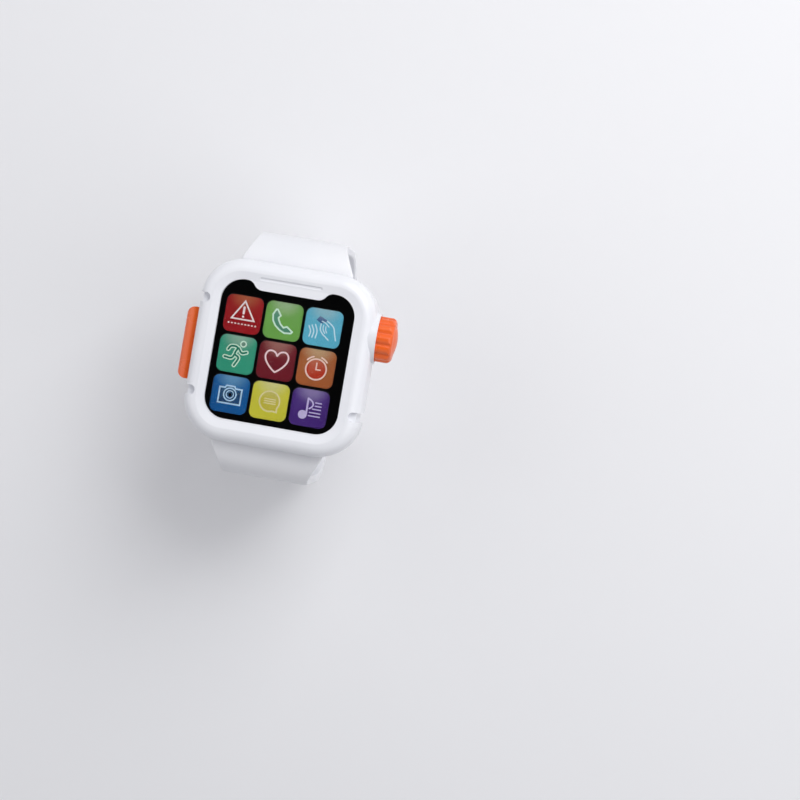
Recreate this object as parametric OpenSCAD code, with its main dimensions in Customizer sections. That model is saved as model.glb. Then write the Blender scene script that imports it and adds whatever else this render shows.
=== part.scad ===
// Toy wrist watch with a square screen, a ribbed crown, a side button and a pegged strap.
// X runs across the screen towards the crown, Y towards the top of the screen, Z out of the screen.
// The origin is on the surface that the closed strap stands on, straight below the case.

/* [Case] */
// Width of the case, without crown and button
case_w = 48.4; // [46.4:1:52.4]
// Length of the case along the strap
case_l = 50; // [48:1:54]
// Thickness of the case from the wrist face to the crest of the rim
case_t = 15; // [14:0.5:17]
// Corner radius of the case seen from the front
case_corner_r = 11.5; // [11:0.5:13]
// Thickness of the case's side walls
case_wall = 2; // [1.6:0.1:2.4]
// Rounding of the outer edge round the screen
rim_edge_r = 3.6; // [3:0.1:4.2]
// Rounding of the outer edge at the wrist
base_edge_r = 1.4; // [0.8:0.1:1.6]
// Drop of the front face from its crest to the screen opening
rim_dip = 0.5; // [0.2:0.1:0.8]
// Thickness of the lip that holds the lens
lip_t = 1; // [0.8:0.1:1.2]
// Height of the case's wrist face above the surface that the strap stands on
case_lift = 44; // [40:1:50]

/* [Screen opening] */
// Width of the front face beside the screen
rim_side_w = 5.8; // [5.4:0.1:6.6]
// Width of the front face at both ends of the screen, measured at the opening's upper ears
rim_end_w = 5.95; // [5.55:0.1:6.75]
// Corner radius of the screen opening
opening_r = 6; // [4:0.5:7]
// Distance of the opening's middle from the case's middle, upwards
opening_up = 0.25; // [0:0.05:0.6]
// Depth by which the tongue hangs into the opening
tongue_drop = 2.3; // [1.5:0.1:3]
// Distance from the opening's side to the tongue's straight lower edge
ear_w = 10.8; // [10.4:0.1:12]
// Width of the curve at each end of the tongue
tongue_curve_w = 4.3; // [3.4:0.1:4.6]
// Reach of the sound slot beyond both ends of the tongue's straight edge
slot_over = 0.9; // [0.5:0.1:1.4]
// Width of the sound slot
slot_w = 0.9; // [0.7:0.1:1.2]
// Depth of the sound slot
slot_depth = 0.6; // [0.3:0.1:0.9]
// Distance of the sound slot from the tongue's lower edge
slot_up = 3.1; // [2.8:0.1:3.6]

/* [Screen layers] */
// Thickness of the clear lens
lens_t = 1.2; // [1:0.1:1.4]
// Overlap of the lens under the lip
lens_lap = 1.2; // [0.9:0.1:1.4]
// Gap between two picture tiles
tile_gap = 0.6; // [0.4:0.1:1]
// Margins between the tiles and the sides of the opening: left, right, top and bottom
tile_left = 1.4; // [1:0.1:2.6]
tile_right = 3; // [1:0.1:3.4]
tile_top = 4.1; // [3.5:0.1:4.7]
tile_bottom = 1.6; // [1:0.1:2.4]
// Corner radius of one tile
tile_r = 1.9; // [1.2:0.1:2.4]
// Thickness of the black mask behind the lens
mask_t = 0.2; // [0.15:0.05:0.3]
// Thickness of the picture film behind the mask
film_t = 0.25; // [0.2:0.05:0.3]

/* [Side notches] */
// Width of one notch in the rim
notch_w = 2.6; // [2:0.1:3]
// Reach of a notch inwards from the case's side
notch_reach = 3.1; // [2.2:0.1:3.4]
// Depth of a notch below the crest of the rim
notch_depth = 1.9; // [1.4:0.1:2.4]
// Gap between the side button's slot and the upper notch
upper_notch_gap = 1.45; // [1:0.05:2]
// Gap between the side button's slot and the lower notches
lower_notch_gap = 1.1; // [0.8:0.05:2]
// Depth of the groove that runs down the side below a notch
groove_depth = 1; // [0.5:0.1:1.1]

/* [Side button] */
// Length of the side button
button_l = 19.8; // [16:0.2:21]
// Height of the side button
button_h = 5.4; // [4.6:0.1:5.8]
// Distance that the side button stands out of the case
button_out = 3.7; // [3:0.1:4.2]
// Corner radius of the side button seen from the front
button_corner_r = 2.6; // [1.2:0.1:2.8]
// Travel of the side button
button_travel = 0.7; // [0.5:0.1:0.8]

/* [Crown] */
// Outer radius of the crown over its ribs
crown_r = 6.2; // [5.6:0.1:6.2]
// Length of the crown along its axis
crown_l = 5.4; // [4.8:0.1:6]
// Number of ribs round the crown
crown_ribs = 12; // [10:1:14]
// Radius of one rib
rib_r = 1.6; // [1.5:0.05:1.8]
// Depth of the valley between two ribs
rib_depth = 0.5; // [0.4:0.05:0.6]
// Distance of the crown's axis from the case's upper end
crown_down = 15.4; // [14.6:0.1:16]
// Travel of the crown when it is pressed
crown_travel = 0.6; // [0.4:0.1:0.7]
// Thickness of the raised ring that the crown sits in
guard_wall = 0.5; // [0.4:0.05:0.5]
// Height of the raised ring
guard_h = 0.8; // [0.3:0.1:1]
// Radius of the crown's stem
stem_r = 2; // [1.8:0.1:2.2]

/* [Strap] */
// Thickness of the strap
strap_t = 2.4; // [2:0.1:2.6]
// Distance from the case's side to the strap's edge, where the strap leaves the case
root_inset = 8.7; // [8.2:0.1:10]
// Width of the strap round the wrist
strap_w = 24; // [22:0.5:26]
// Reach of the strap loop beyond the case's end, to the middle of the strap
strap_reach = 7.5; // [7:0.1:9]
// Height of the strap's middle above the case's wrist face
strap_up = 8; // [7.5:0.1:8.5]
// Half length of the flat underside, on the lower strap
flat_half_l = 12; // [11.6:0.1:13]
// Half length of the flat underside, on the upper strap
inner_flat_half_l = 9.5; // [9:0.1:9.8]
// Length of the lower strap's tail beyond the flat underside
tail_l = 26; // [24:1:29]
// Radius of the strap's rounded ends
strap_end_r = 9; // [6:0.5:10]

/* [Strap closure] */
// Distance between two pairs of holes
hole_pitch = 6.5; // [6:0.1:7.2]
// Distance between the two holes of a pair
hole_gap = 8; // [7:0.5:10]
// Radius of a strap hole
hole_r = 1.55; // [1.3:0.05:1.8]
// Pairs of holes on the case's side of the fastened pair
holes_before = 2; // [1:1:2]
// Pairs of holes on the tail's side of the fastened pair
holes_after = 5; // [3:1:5]
// Distance of the fastened pegs from the middle of the flat underside
peg_from_middle = 7.6; // [7.4:0.1:8]
// Radius of a peg's head
peg_head_r = 2.6; // [2.2:0.1:2.8]
// Thickness of the peg plate inside the strap
peg_plate_t = 1; // [0.8:0.1:1.4]
// Length of the keeper loop along the strap
keeper_l = 8; // [6:0.5:8.5]
// Thickness of the keeper loop
keeper_t = 1.3; // [1:0.1:1.6]

/* [Works] */
// Radius of one button cell
cell_r = 5.8; // [5.8:0.1:6]
// Height of one button cell
cell_h = 5.4; // [5.2:0.1:5.6]
// Radius of the speaker
speaker_r = 8; // [7:0.5:8.5]
// Height of the speaker
speaker_h = 4.2; // [3.5:0.1:4.4]
// Room between the circuit board and the side walls, for the button's and the crown's pushers
press_room = 6.7; // [6.4:0.1:7.4]
// Room between the circuit board and the strap's bars
board_room = 2; // [1.5:0.1:3]
// Thickness of the circuit board
board_t = 0.8; // [0.6:0.1:1]
// Height of a push switch
switch_h = 3.2; // [3:0.1:3.4]
// Thickness of the rear cover
cover_t = 2; // [1.8:0.1:2.2]
// Thickness of the battery door
door_t = 1.2; // [1:0.1:1.4]

/* [Hidden] */
$fn = 72;

// Overrun of a cut past the surface that it opens
cut = 1;
// Clearance between pieces that are only laid together
fit = 0.15;
// Radial clearance of a turning or sliding shaft
shaft_fit = 0.05;
// Clearance round the side button and the strap in their slots
slot_fit = 0.2;
// Gap between two layers of the closed strap
layer_gap = 0.1;

// Rows and columns of picture tiles
tile_rows = 3;
// Step from the rim of the case to the wrist face of the rear cover
base_step = 0.6;
// Inset of the rear cover from the case's outline
cover_inset = 1.8;
// Radius of a screw post in the case
post_r = 2.4;
// Radius of a case screw's shank, and of its head
case_screw_r = 0.95;
case_screw_head_r = 1.9;
case_screw_l = 6;
screw_head_h = 1;
// Length, width and depth of a screw's cross, as shares of its head's radius and height
cross_l_share = 0.5;
cross_w_share = 0.125;
cross_depth_share = 0.5;
// Places of the case screws, as shares of the corner radius from a corner arc's middle
post_out_share = 0.536;
post_along_share = 0.392;

// Thickness and reach of the flange behind the button and the crown
flange_t = 1;
flange_reach = 0.9;
// Room between a flange and the wall that stops it
flange_gap = 0.1;
// Width of the pusher behind the side button
pusher_w = 3;
// Radius of the pusher behind the crown
crown_pusher_r = 1.5;
// Depth of the crown's inner end in its raised ring
crown_sunk = 0.1;
// Thickness of the crown's outer wall over the stem's head, and the head's size
crown_end_t = 1.45;
stem_head_l = 0.95;
stem_head_reach = 0.45;
// Rounding of the crown's outer edge, and the size of its domed end
crown_edge_r = 1.5;
crown_dome_foot_r = 4.3;
crown_dome_h = 0.8;

// Size of a push switch along the wall, and inwards
switch_w = 6;
switch_d = 4;
plunger_r = 1.1;
plunger_out = 1.4;
plunger_in = 1.2;

// Size of one screen lamp, and how far it stands from the board's middle
lamp_w = 3.5;
lamp_l = 2.8;
lamp_h = 1.2;
lamp_from_middle = 8;
lamps_up = 2.5;
// Size of the chip's resin drop
chip_r = 4;
chip_h = 1;
chip_along_share = 0.2;

// Room and walls round the button cells
cell_room = 0.3;
box_wall = 1;
box_h = 3;
cells_down = 8.9;
cell_gap = 0.4;
contact_t = 0.3;
contact_w = 4;
contact_pad_l = 4;
contact_foot_l = 2;
contact_from_cell = 2.2;
bridge_w = 5;
dimple_r = 1.6;
dimple_h = 0.2;
// The battery door's rim, its screw and its hooks
door_lap = 1.6;
door_tail = 4.2;
door_tab_w = 7;
door_screw_from_edge = 2.2;
door_screw_r = 0.95;
door_screw_head_r = 1.6;
door_screw_head_h = 0.6;
door_screw_l = 4.5;
door_boss_r = 1.9;
door_boss_h = 5.2;
hook_w = 1.6;
hook_t = 0.6;
hook_reach = 0.5;
hook_h = 0.9;
hook_from_middle = 5.2;

// The speaker's place, ring, holes and leads
speaker_up = 8;
ring_wall = 1;
ring_h = 2.5;
sound_hole_r = 0.7;
sound_hole_ring_r = 3.8;
sound_holes = 8;
can_wall = 0.5;
magnet_r = 3.8;
magnet_h = 1;
cone_t = 0.3;
cone_rise = 0.8;
cone_lift = 0.5;
lead_r = 0.35;
lead_apart = 3;

// Posts for the circuit board and its screws
board_post_r = 1.8;
board_post_from_side = 2.4;
board_post_from_end = 2.2;
board_screw_r = 0.7;
board_screw_head_r = 1.3;
board_screw_head_h = 0.8;
board_screw_l = 4;

// The strap's neck and the bar that holds it inside the case
bar_w = 22.4;
bar_t = 4.8;
bar_l = 2;
peg_plate_w = 5;
peg_plate_end_r = 2.4;
keeper_r = 1.5;
upper_end_past_peg = 4;

// Levels of the case, from the standing surface upwards
z_back = case_lift;
z_top = case_lift + case_t;
z_rim = z_back + base_step;
z_cover = z_back + cover_t;
z_axis = z_back + case_t / 2;
z_face = z_top - rim_dip;
z_lens = z_face - lip_t;
z_mask = z_lens - lens_t;
z_film = z_mask - mask_t;
z_film_back = z_film - film_t;
z_board = z_axis + switch_h / 2;
z_board_top = z_board + board_t;
z_bridge = z_back + door_t;
z_cell = z_bridge + contact_t + dimple_h;
z_cell_top = z_cell + cell_h;

// Places in the plane of the screen
half_w = case_w / 2;
half_l = case_l / 2;
arc_x = half_w - case_corner_r;
arc_y = half_l - case_corner_r;
inner_x = half_w - case_wall;
inner_y = half_l - case_wall;
post_x = arc_x + case_corner_r * post_out_share;
post_y = arc_y + case_corner_r * post_along_share;
strap_root_w = case_w - 2 * root_inset;
opening_w = case_w - 2 * rim_side_w;
opening_l = case_l - 2 * rim_end_w;
opening_top = opening_up + opening_l / 2;
tongue_w = opening_w - 2 * ear_w;
tongue_y = opening_top - tongue_drop;
slot_l = tongue_w + 2 * slot_over;
tile_w = (opening_w - tile_left - tile_right - (tile_rows - 1) * tile_gap) / tile_rows;
tile_l = (opening_l - tile_top - tile_bottom - (tile_rows - 1) * tile_gap) / tile_rows;
slot_y = tongue_y + slot_up;
board_w = 2 * (inner_x - press_room);
board_l = 2 * (inner_y - bar_l - board_room);
board_post_x = board_w / 2 - board_post_from_side;
board_post_y = board_l / 2 - board_post_from_end;
cell_apart = cell_r + cell_gap / 2;
cells_x = cell_apart + cell_r + cell_room;
cells_y = cell_r + cell_room;
door_x0 = -cells_x - door_lap;
door_x1 = cells_x + door_lap;
door_y0 = cells_y + door_lap;
door_screw_x = door_x1 + door_tail - door_screw_from_edge;

// Places along the side button and the crown
button_slot_end = button_l / 2 + slot_fit;
notch_up = button_slot_end + upper_notch_gap + notch_w / 2;
notch_down = button_slot_end + lower_notch_gap + notch_w / 2;
crown_up = half_l - crown_down;
flange_x = inner_x - flange_gap;
guard_r = crown_r + fit + guard_wall;
crown_x = half_w + guard_h - crown_sunk;
crown_end = crown_x + crown_l;
crown_dome_r = (crown_dome_foot_r * crown_dome_foot_r + crown_dome_h * crown_dome_h) / (2 * crown_dome_h);
stem_head_x = crown_end - crown_end_t - stem_head_l;
switch_face = board_w / 2;

// The strap's path in the plane of Y and Z: out of the case, a quarter turn down over the
// shoulder, straight down the side, a quarter turn round the heel and along the flat underside.
z_strap = z_back + strap_up;
neck_y = half_l + slot_fit;
loop_half_l = half_l + strap_reach;
shoulder_r = loop_half_l - neck_y;
z_side = z_strap - shoulder_r;
z_lower = keeper_t + strap_t / 2;
z_upper = z_lower + strap_t + layer_gap;
heel_r = loop_half_l - flat_half_l;
inner_heel_r = loop_half_l - inner_flat_half_l;
tail_r = inner_heel_r + strap_t + layer_gap;
tail_turn = tail_l / tail_r * 180 / PI;

// A quarter of a ring of the strap's thickness, above or below the level of its centre
module quarter(centre, r, above) {
    reach = r + strap_t;
    translate(centre)
        intersection() {
            difference() {
                circle(r = r + strap_t / 2);
                circle(r = r - strap_t / 2);
            }
            translate([0, above ? 0 : -reach])
                square(reach);
        }
}

// The strap seen from its side, with its flat underside running to flat_end beyond the middle
module strap_side(flat, z, flat_end) {
    heel = loop_half_l - flat;
    translate([half_l - case_wall - bar_l, z_strap - strap_t / 2])
        square([neck_y - half_l + case_wall + bar_l, strap_t]);
    quarter([neck_y, z_side], shoulder_r, true);
    translate([loop_half_l - strap_t / 2, z + heel])
        square([strap_t, z_side - z - heel]);
    quarter([flat, z + heel], heel, false);
    translate([-flat_end, z - strap_t / 2])
        square([flat + flat_end, strap_t]);
}

// The lower strap's tail, laid over the outside of the upper strap's heel
module tail_side() {
    end = tail_turn + cut / tail_r * 180 / PI;
    reach = 2 * tail_r;
    intersection() {
        quarter([inner_flat_half_l, z_lower + tail_r], tail_r, false);
        translate([inner_flat_half_l, z_lower + tail_r])
            polygon([
                [0, 0], [0, -reach], [reach * sin(end / 2), -reach * cos(end / 2)],
                [reach * sin(end), -reach * cos(end)]
            ]);
    }
}

// Turns a drawing of the plane of Y and Z into a solid of width w about the middle of X
module across(w) {
    rotate([90, 0, 90])
        linear_extrude(height = w, center = true)
            children();
}

// Width of the strap seen from the front: it narrows from the case to the wrist
module strap_plan() {
    taper_end = loop_half_l - strap_t / 2;
    polygon([
        [-strap_root_w / 2, 0], [-strap_root_w / 2, neck_y], [-strap_w / 2, taper_end],
        [-strap_w / 2, taper_end + strap_t + cut], [strap_w / 2, taper_end + strap_t + cut],
        [strap_w / 2, taper_end], [strap_root_w / 2, neck_y], [strap_root_w / 2, 0]
    ]);
}

// A strap half made from its side view and cut to its width, with the bar that holds it inside
// the case. It starts at the case's end towards +Y, or at the other end
module strap_body(other_end) {
    flip = other_end ? 1 : 0;
    intersection() {
        across(strap_root_w + cut)
            children();
        union() {
            mirror([0, flip, 0])
                translate([0, 0, z_side])
                    linear_extrude(height = case_t + case_lift)
                        strap_plan();
            translate([-strap_w / 2, -case_l, -cut])
                cube([strap_w, 2 * case_l, z_side + cut]);
        }
    }
    mirror([0, flip, 0])
        translate([-bar_w / 2, inner_y - bar_l, z_strap - bar_t / 2])
            cube([bar_w, bar_l - flange_gap, bar_t]);
}

// Trims a strap end that points along -Y at the given place to a rounded outline. The round
// runs off the strap's side at a slight angle
module end_corners() {
    arc_middle = strap_w / 2 - strap_end_r + fit;
    linear_extrude(height = 4 * strap_t, center = true)
        difference() {
            translate([-strap_w / 2 - cut, -2 * cut])
                square([strap_w + 2 * cut, strap_end_r + 2 * cut]);
            for (side = [-1, 1])
                translate([side * arc_middle, strap_end_r])
                    circle(r = strap_end_r);
            translate([-arc_middle, 0])
                square([2 * arc_middle, strap_end_r + cut]);
        }
}

// Place and tilt of a point on the lower strap, by its distance along the strap from the middle
function strap_place(s) =
    s > inner_flat_half_l
    ? let (a = (s - inner_flat_half_l) / tail_r * 180 / PI)
        [inner_flat_half_l + tail_r * sin(a), z_lower + tail_r * (1 - cos(a)), a]
    : s < -flat_half_l
    ? let (a = (-flat_half_l - s) / heel_r * 180 / PI)
        [-flat_half_l - heel_r * sin(a), z_lower + heel_r * (1 - cos(a)), -a]
    : [s, z_lower, 0];

// A rounded rectangle about the middle
module plate(w, l, r) {
    for (sx = [-1, 1], sy = [-1, 1])
        translate([sx * (w / 2 - r), sy * (l / 2 - r)])
            circle(r = r);
    square([w - 2 * r, l], center = true);
    square([w, l - 2 * r], center = true);
}

// Carries a section round the case's outline. The section's x is the distance from a corner
// arc's middle, and its y is the level
module round_case() {
    for (quarter = [0:3]) {
        flip = quarter % 2;
        x = quarter == 0 || quarter == 3 ? arc_x : -arc_x;
        y = quarter < 2 ? arc_y : -arc_y;
        translate([x, y, 0])
            rotate([0, 0, 90 * quarter])
                rotate_extrude(angle = 90)
                    children();
        rotate([0, 0, 90 * quarter])
            translate([flip ? arc_y : arc_x, flip ? arc_x : arc_y, 0])
                rotate([90, 0, 0])
                    linear_extrude(height = 2 * (flip ? arc_x : arc_y))
                        children();
    }
}

// Section of the case's outer form: a large round above and a small one at the wrist
module case_section() {
    crest = case_corner_r - rim_edge_r;
    foot = case_corner_r - base_edge_r;
    difference() {
        union() {
            translate([0, z_rim])
                square([foot, z_top - z_rim - rim_edge_r]);
            translate([0, z_rim + base_edge_r])
                square([case_corner_r, z_top - rim_edge_r - z_rim - base_edge_r]);
            translate([foot, z_rim + base_edge_r])
                circle(r = base_edge_r);
            translate([0, z_top - rim_edge_r - cut])
                square([crest, rim_edge_r + cut]);
            translate([crest, z_top - rim_edge_r])
                circle(r = rim_edge_r);
        }
        polygon([
            [-cut, z_face], [case_corner_r - (half_w - opening_w / 2), z_face],
            [crest, z_top], [crest, z_top + cut], [-cut, z_top + cut]
        ]);
    }
}

// The tongue that hangs into the top of the opening, with an S-shaped curve at each end.
// Two equal arcs make the curve, so their radius follows from its width and its drop
module tongue() {
    half_turn = atan(tongue_drop / tongue_curve_w);
    curve_r = tongue_curve_w / (2 * sin(2 * half_turn));
    top = opening_top + cut;
    low = [tongue_w / 2, tongue_y + curve_r];
    high = [tongue_w / 2 + tongue_curve_w, opening_top - curve_r];
    translate([-tongue_w / 2, tongue_y])
        square([tongue_w, top - tongue_y]);
    for (side = [0, 1])
        mirror([side, 0]) {
            translate(low)
                circle(r = curve_r);
            difference() {
                polygon([low, high, [high[0], top], [low[0], top]]);
                translate(high)
                    circle(r = curve_r);
            }
        }
}

module opening_outline() {
    difference() {
        translate([0, opening_up])
            plate(opening_w, opening_l, opening_r);
        tongue();
    }
}

// Outline of the lens and the layers behind it, shrunk by a clearance
module lens_outline(gap = 0) {
    translate([0, opening_up])
        plate(opening_w + 2 * (lens_lap - gap), opening_l + 2 * (lens_lap - gap), opening_r + lens_lap - gap);
}

// One child at the middle of each tile
module each_tile() {
    for (column = [0:tile_rows - 1], row = [0:tile_rows - 1])
        translate([
            tile_left - opening_w / 2 + tile_w / 2 + column * (tile_w + tile_gap),
            opening_top - tile_top - tile_l / 2 - row * (tile_l + tile_gap)
        ])
            children();
}

// One child at each corner post
module each_post() {
    for (sx = [-1, 1], sy = [-1, 1])
        translate([sx * post_x, sy * post_y, 0])
            children();
}

// A notch in the rim, with the groove that runs down the side below it
module notch() {
    middle = notch_reach - notch_w / 2;
    translate([0, 0, z_top - notch_depth])
        linear_extrude(height = notch_depth + cut) {
            translate([-middle, 0])
                circle(r = notch_w / 2);
            translate([-middle, -notch_w / 2])
                square([middle + cut, notch_w]);
        }
    translate([-groove_depth, -notch_w / 2, z_rim - cut])
        cube([groove_depth + cut, notch_w, case_t + cut]);
}

module button_slot(gap) {
    h = button_h / 2 + gap;
    w = button_l / 2 + gap;
    translate([0, -w, -h])
        cube([case_wall + 2 * cut, 2 * w, 2 * h]);
}

// The housing: rim, walls and corner posts in one moulding
module front_case() color("white") {
    difference() {
        union() {
            difference() {
                union() {
                    round_case()
                        case_section();
                    translate([-arc_x, -arc_y, z_rim])
                        cube([2 * arc_x, 2 * arc_y, z_face - z_rim]);
                    translate([inner_x, crown_up, z_axis])
                        rotate([0, 90, 0])
                            cylinder(r = guard_r, h = case_wall + guard_h);
                }
                translate([0, 0, z_rim - cut])
                    linear_extrude(height = z_film_back - z_rim + cut)
                        plate(2 * inner_x, 2 * inner_y, case_corner_r - case_wall);
            }
            each_post()
                translate([0, 0, z_cover])
                    cylinder(r = post_r, h = z_film_back - z_cover - fit);
        }
        translate([0, 0, z_rim - cut])
            linear_extrude(height = z_cover - z_rim + cut)
                plate(case_w - 2 * (cover_inset - fit), case_l - 2 * (cover_inset - fit),
                    case_corner_r - cover_inset + fit);
        translate([0, 0, z_film_back - cut])
            linear_extrude(height = z_lens - z_film_back + cut)
                lens_outline();
        translate([0, 0, z_lens - cut])
            linear_extrude(height = z_top - z_lens + 2 * cut)
                opening_outline();
        translate([0, slot_y, z_top - slot_depth])
            linear_extrude(height = slot_depth + cut)
                plate(slot_l, slot_w, slot_w / 2 - fit);
        for (side = [-1, 1])
            translate([side * half_w, -notch_down, 0])
                mirror([side < 0 ? 1 : 0, 0, 0])
                    notch();
        translate([-half_w, notch_up, 0])
            mirror([1, 0, 0])
                notch();
        for (side = [0, 1])
            mirror([0, side, 0])
                translate([-strap_root_w / 2 - slot_fit, inner_y - cut, z_strap - strap_t / 2 - slot_fit])
                    cube([strap_root_w + 2 * slot_fit, case_wall + 2 * cut, strap_t + 2 * slot_fit]);
        translate([-half_w - cut, 0, z_axis])
            button_slot(slot_fit);
        translate([inner_x - cut, crown_up, z_axis])
            rotate([0, 90, 0])
                cylinder(r = stem_r + shaft_fit, h = case_wall + guard_h + 2 * cut);
        translate([crown_x - crown_travel - fit, crown_up, z_axis])
            rotate([0, 90, 0])
                cylinder(r = crown_r + fit, h = crown_travel + fit + crown_sunk + cut);
        each_post()
            translate([0, 0, z_cover - cut])
                cylinder(r = case_screw_r + shaft_fit, h = case_screw_l + cut);
    }
}

// The battery door seen from below, with the tab for its screw
module door_outline(gap = 0) {
    translate([door_x0 - gap, -cells_down - door_y0 - gap])
        square([door_x1 - door_x0 + 2 * gap, 2 * (door_y0 + gap)]);
    translate([0, -cells_down - door_tab_w / 2 - gap])
        square([door_x1 + door_tail + gap, door_tab_w + 2 * gap]);
}

// The opening, its step for the door and the hooks' pockets are cut from the cover
module door_recess() {
    translate([0, 0, z_back - cut])
        linear_extrude(height = door_t + cut)
            door_outline(fit);
    translate([-cells_x, -cells_down - cells_y, z_back])
        cube([2 * cells_x, 2 * cells_y, cover_t + box_h + cut]);
    for (side = [-1, 1])
        translate([-cells_x - hook_reach - 2 * fit, side * hook_from_middle - cells_down - hook_w / 2 - fit, z_cover])
            cube([hook_reach + 2 * fit + cut, hook_w + 2 * fit, hook_h + 2 * fit]);
    translate([door_screw_x, -cells_down, z_back])
        cylinder(r = door_screw_r + shaft_fit, h = door_screw_l);
}

// The back of the watch, with the cell box, the speaker's ring and the board's posts
module rear_cover() color("white") {
    difference() {
        union() {
            translate([0, 0, z_back])
                linear_extrude(height = cover_t)
                    plate(case_w - 2 * cover_inset, case_l - 2 * cover_inset, case_corner_r - cover_inset);
            translate([-cells_x - box_wall, -cells_down - cells_y - box_wall, z_back + door_t])
                cube([2 * (cells_x + box_wall), 2 * (cells_y + box_wall), cover_t - door_t + box_h]);
            translate([0, speaker_up, z_back + door_t])
                cylinder(r = speaker_r + fit + ring_wall, h = cover_t - door_t + ring_h);
            for (sx = [-1, 1], sy = [-1, 1])
                translate([sx * board_post_x, sy * board_post_y, z_back + door_t])
                    cylinder(r = board_post_r, h = z_board - z_back - door_t);
            translate([door_screw_x, -cells_down, z_back + door_t])
                cylinder(r = door_boss_r, h = door_boss_h);
        }
        translate([0, speaker_up, z_cover])
            cylinder(r = speaker_r + fit, h = ring_h + cut);
        translate([0, speaker_up, z_back - cut]) {
            cylinder(r = sound_hole_r, h = cover_t + 2 * cut);
            for (i = [0:sound_holes - 1])
                rotate([0, 0, i * 360 / sound_holes])
                    translate([sound_hole_ring_r, 0, 0])
                        cylinder(r = sound_hole_r, h = cover_t + 2 * cut);
        }
        door_recess();
        each_post() {
            translate([0, 0, z_back - cut])
                cylinder(r = case_screw_r + fit, h = cover_t + 2 * cut);
            translate([0, 0, z_back - cut])
                cylinder(r = case_screw_head_r + fit, h = screw_head_h + cut);
        }
        for (side = [-1, 1])
            translate([side * board_post_x, side * board_post_y, z_board - board_screw_l])
                cylinder(r = board_screw_r + shaft_fit, h = board_screw_l + cut);
    }
}

// The door over the cells, with two hooks at one end and a screw at the other
module battery_door() color("white") {
    difference() {
        translate([0, 0, z_back])
            linear_extrude(height = door_t)
                door_outline();
        translate([door_screw_x, -cells_down, z_back - cut])
            cylinder(r = door_screw_r + fit, h = door_t + 2 * cut);
        translate([door_screw_x, -cells_down, z_back - cut])
            cylinder(r = door_screw_head_r + fit, h = door_screw_head_h + cut);
    }
    for (side = [-1, 1])
        translate([-cells_x, side * hook_from_middle - cells_down - hook_w / 2, z_back + door_t]) {
            translate([fit, 0, 0])
                cube([hook_t, hook_w, cover_t - door_t + hook_h]);
            translate([-hook_reach, 0, cover_t - door_t + fit])
                cube([hook_reach + fit + hook_t, hook_w, hook_h - fit]);
        }
}

// A pan-head screw that points upwards, with its head's underside at the origin
module screw(shank_r, shank_l, head_r, head_h) {
    cylinder(r = shank_r, h = shank_l);
    difference() {
        translate([0, 0, -head_h])
            cylinder(r = head_r, h = head_h);
        for (turn = [0, 90])
            rotate([0, 0, turn])
                translate([-head_r * cross_l_share, -head_r * cross_w_share, -head_h - cut])
                    cube([2 * head_r * cross_l_share, 2 * head_r * cross_w_share, cut + head_h * cross_depth_share]);
    }
}

module door_screw() color("silver")
    translate([door_screw_x, -cells_down, z_back + door_screw_head_h])
        screw(door_screw_r, door_screw_l - door_screw_head_h - fit, door_screw_head_r, door_screw_head_h);

module case_screws() color("silver")
    each_post()
        translate([0, 0, z_back + screw_head_h])
            screw(case_screw_r, case_screw_l - fit, case_screw_head_r, screw_head_h);

module screen_lens() color("lightcyan", 0.3)
    translate([0, 0, z_mask])
        linear_extrude(height = lens_t)
            lens_outline(fit);

// The black sheet with nine rounded windows
module screen_mask() color("black")
    translate([0, 0, z_film])
        linear_extrude(height = mask_t)
            difference() {
                lens_outline(fit);
                each_tile()
                    plate(tile_w, tile_l, tile_r);
            }

module picture_film() color("mediumseagreen")
    translate([0, 0, z_film_back])
        linear_extrude(height = film_t)
            lens_outline(fit);

module circuit_board() color("darkgreen")
    difference() {
        translate([-board_w / 2, -board_l / 2, z_board])
            cube([board_w, board_l, board_t]);
        for (side = [-1, 1])
            translate([side * board_post_x, side * board_post_y, z_board - cut])
                cylinder(r = board_screw_r + fit, h = board_t + 2 * cut);
    }

module board_screws() color("silver")
    for (side = [-1, 1])
        translate([side * board_post_x, side * board_post_y, z_board_top])
            rotate([180, 0, 0])
                screw(board_screw_r, board_screw_l, board_screw_head_r, board_screw_head_h);

// The drop of black resin over the sound chip
module sound_chip() color("black")
    translate([0, -board_l * chip_along_share, z_board_top])
        rotate_extrude($fn = 180)
            intersection() {
                ball_r = (chip_r * chip_r + chip_h * chip_h) / (2 * chip_h);
                translate([0, chip_h - ball_r])
                    circle(r = ball_r);
                square([chip_r, chip_h]);
            }

module screen_lamps() color("ivory")
    for (sx = [-1, 1], sy = [-1, 1])
        translate([sx * lamp_from_middle - lamp_w / 2, sy * lamp_from_middle + lamps_up - lamp_l / 2, z_board_top])
            cube([lamp_w, lamp_l, lamp_h]);

// A push switch under the board's edge. Its plunger points along +X
module switch_body(travel) {
    well = plunger_in + travel + fit;
    difference() {
        translate([switch_face - switch_d, -switch_w / 2, z_axis - switch_h / 2])
            cube([switch_d, switch_w, switch_h]);
        translate([switch_face - well, 0, z_axis])
            rotate([0, 90, 0])
                cylinder(r = plunger_r + shaft_fit, h = well + cut);
    }
}

module switch_plunger() {
    translate([switch_face - plunger_in, 0, z_axis])
        rotate([0, 90, 0])
            cylinder(r = plunger_r, h = plunger_in + plunger_out);
}

module side_switch() color("dimgray")
    mirror([1, 0, 0])
        switch_body(button_travel);

module side_switch_plunger() color("black")
    mirror([1, 0, 0])
        switch_plunger();

module crown_switch() color("dimgray")
    translate([0, crown_up, 0])
        switch_body(crown_travel);

module crown_switch_plunger() color("black")
    translate([0, crown_up, 0])
        switch_plunger();

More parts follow.
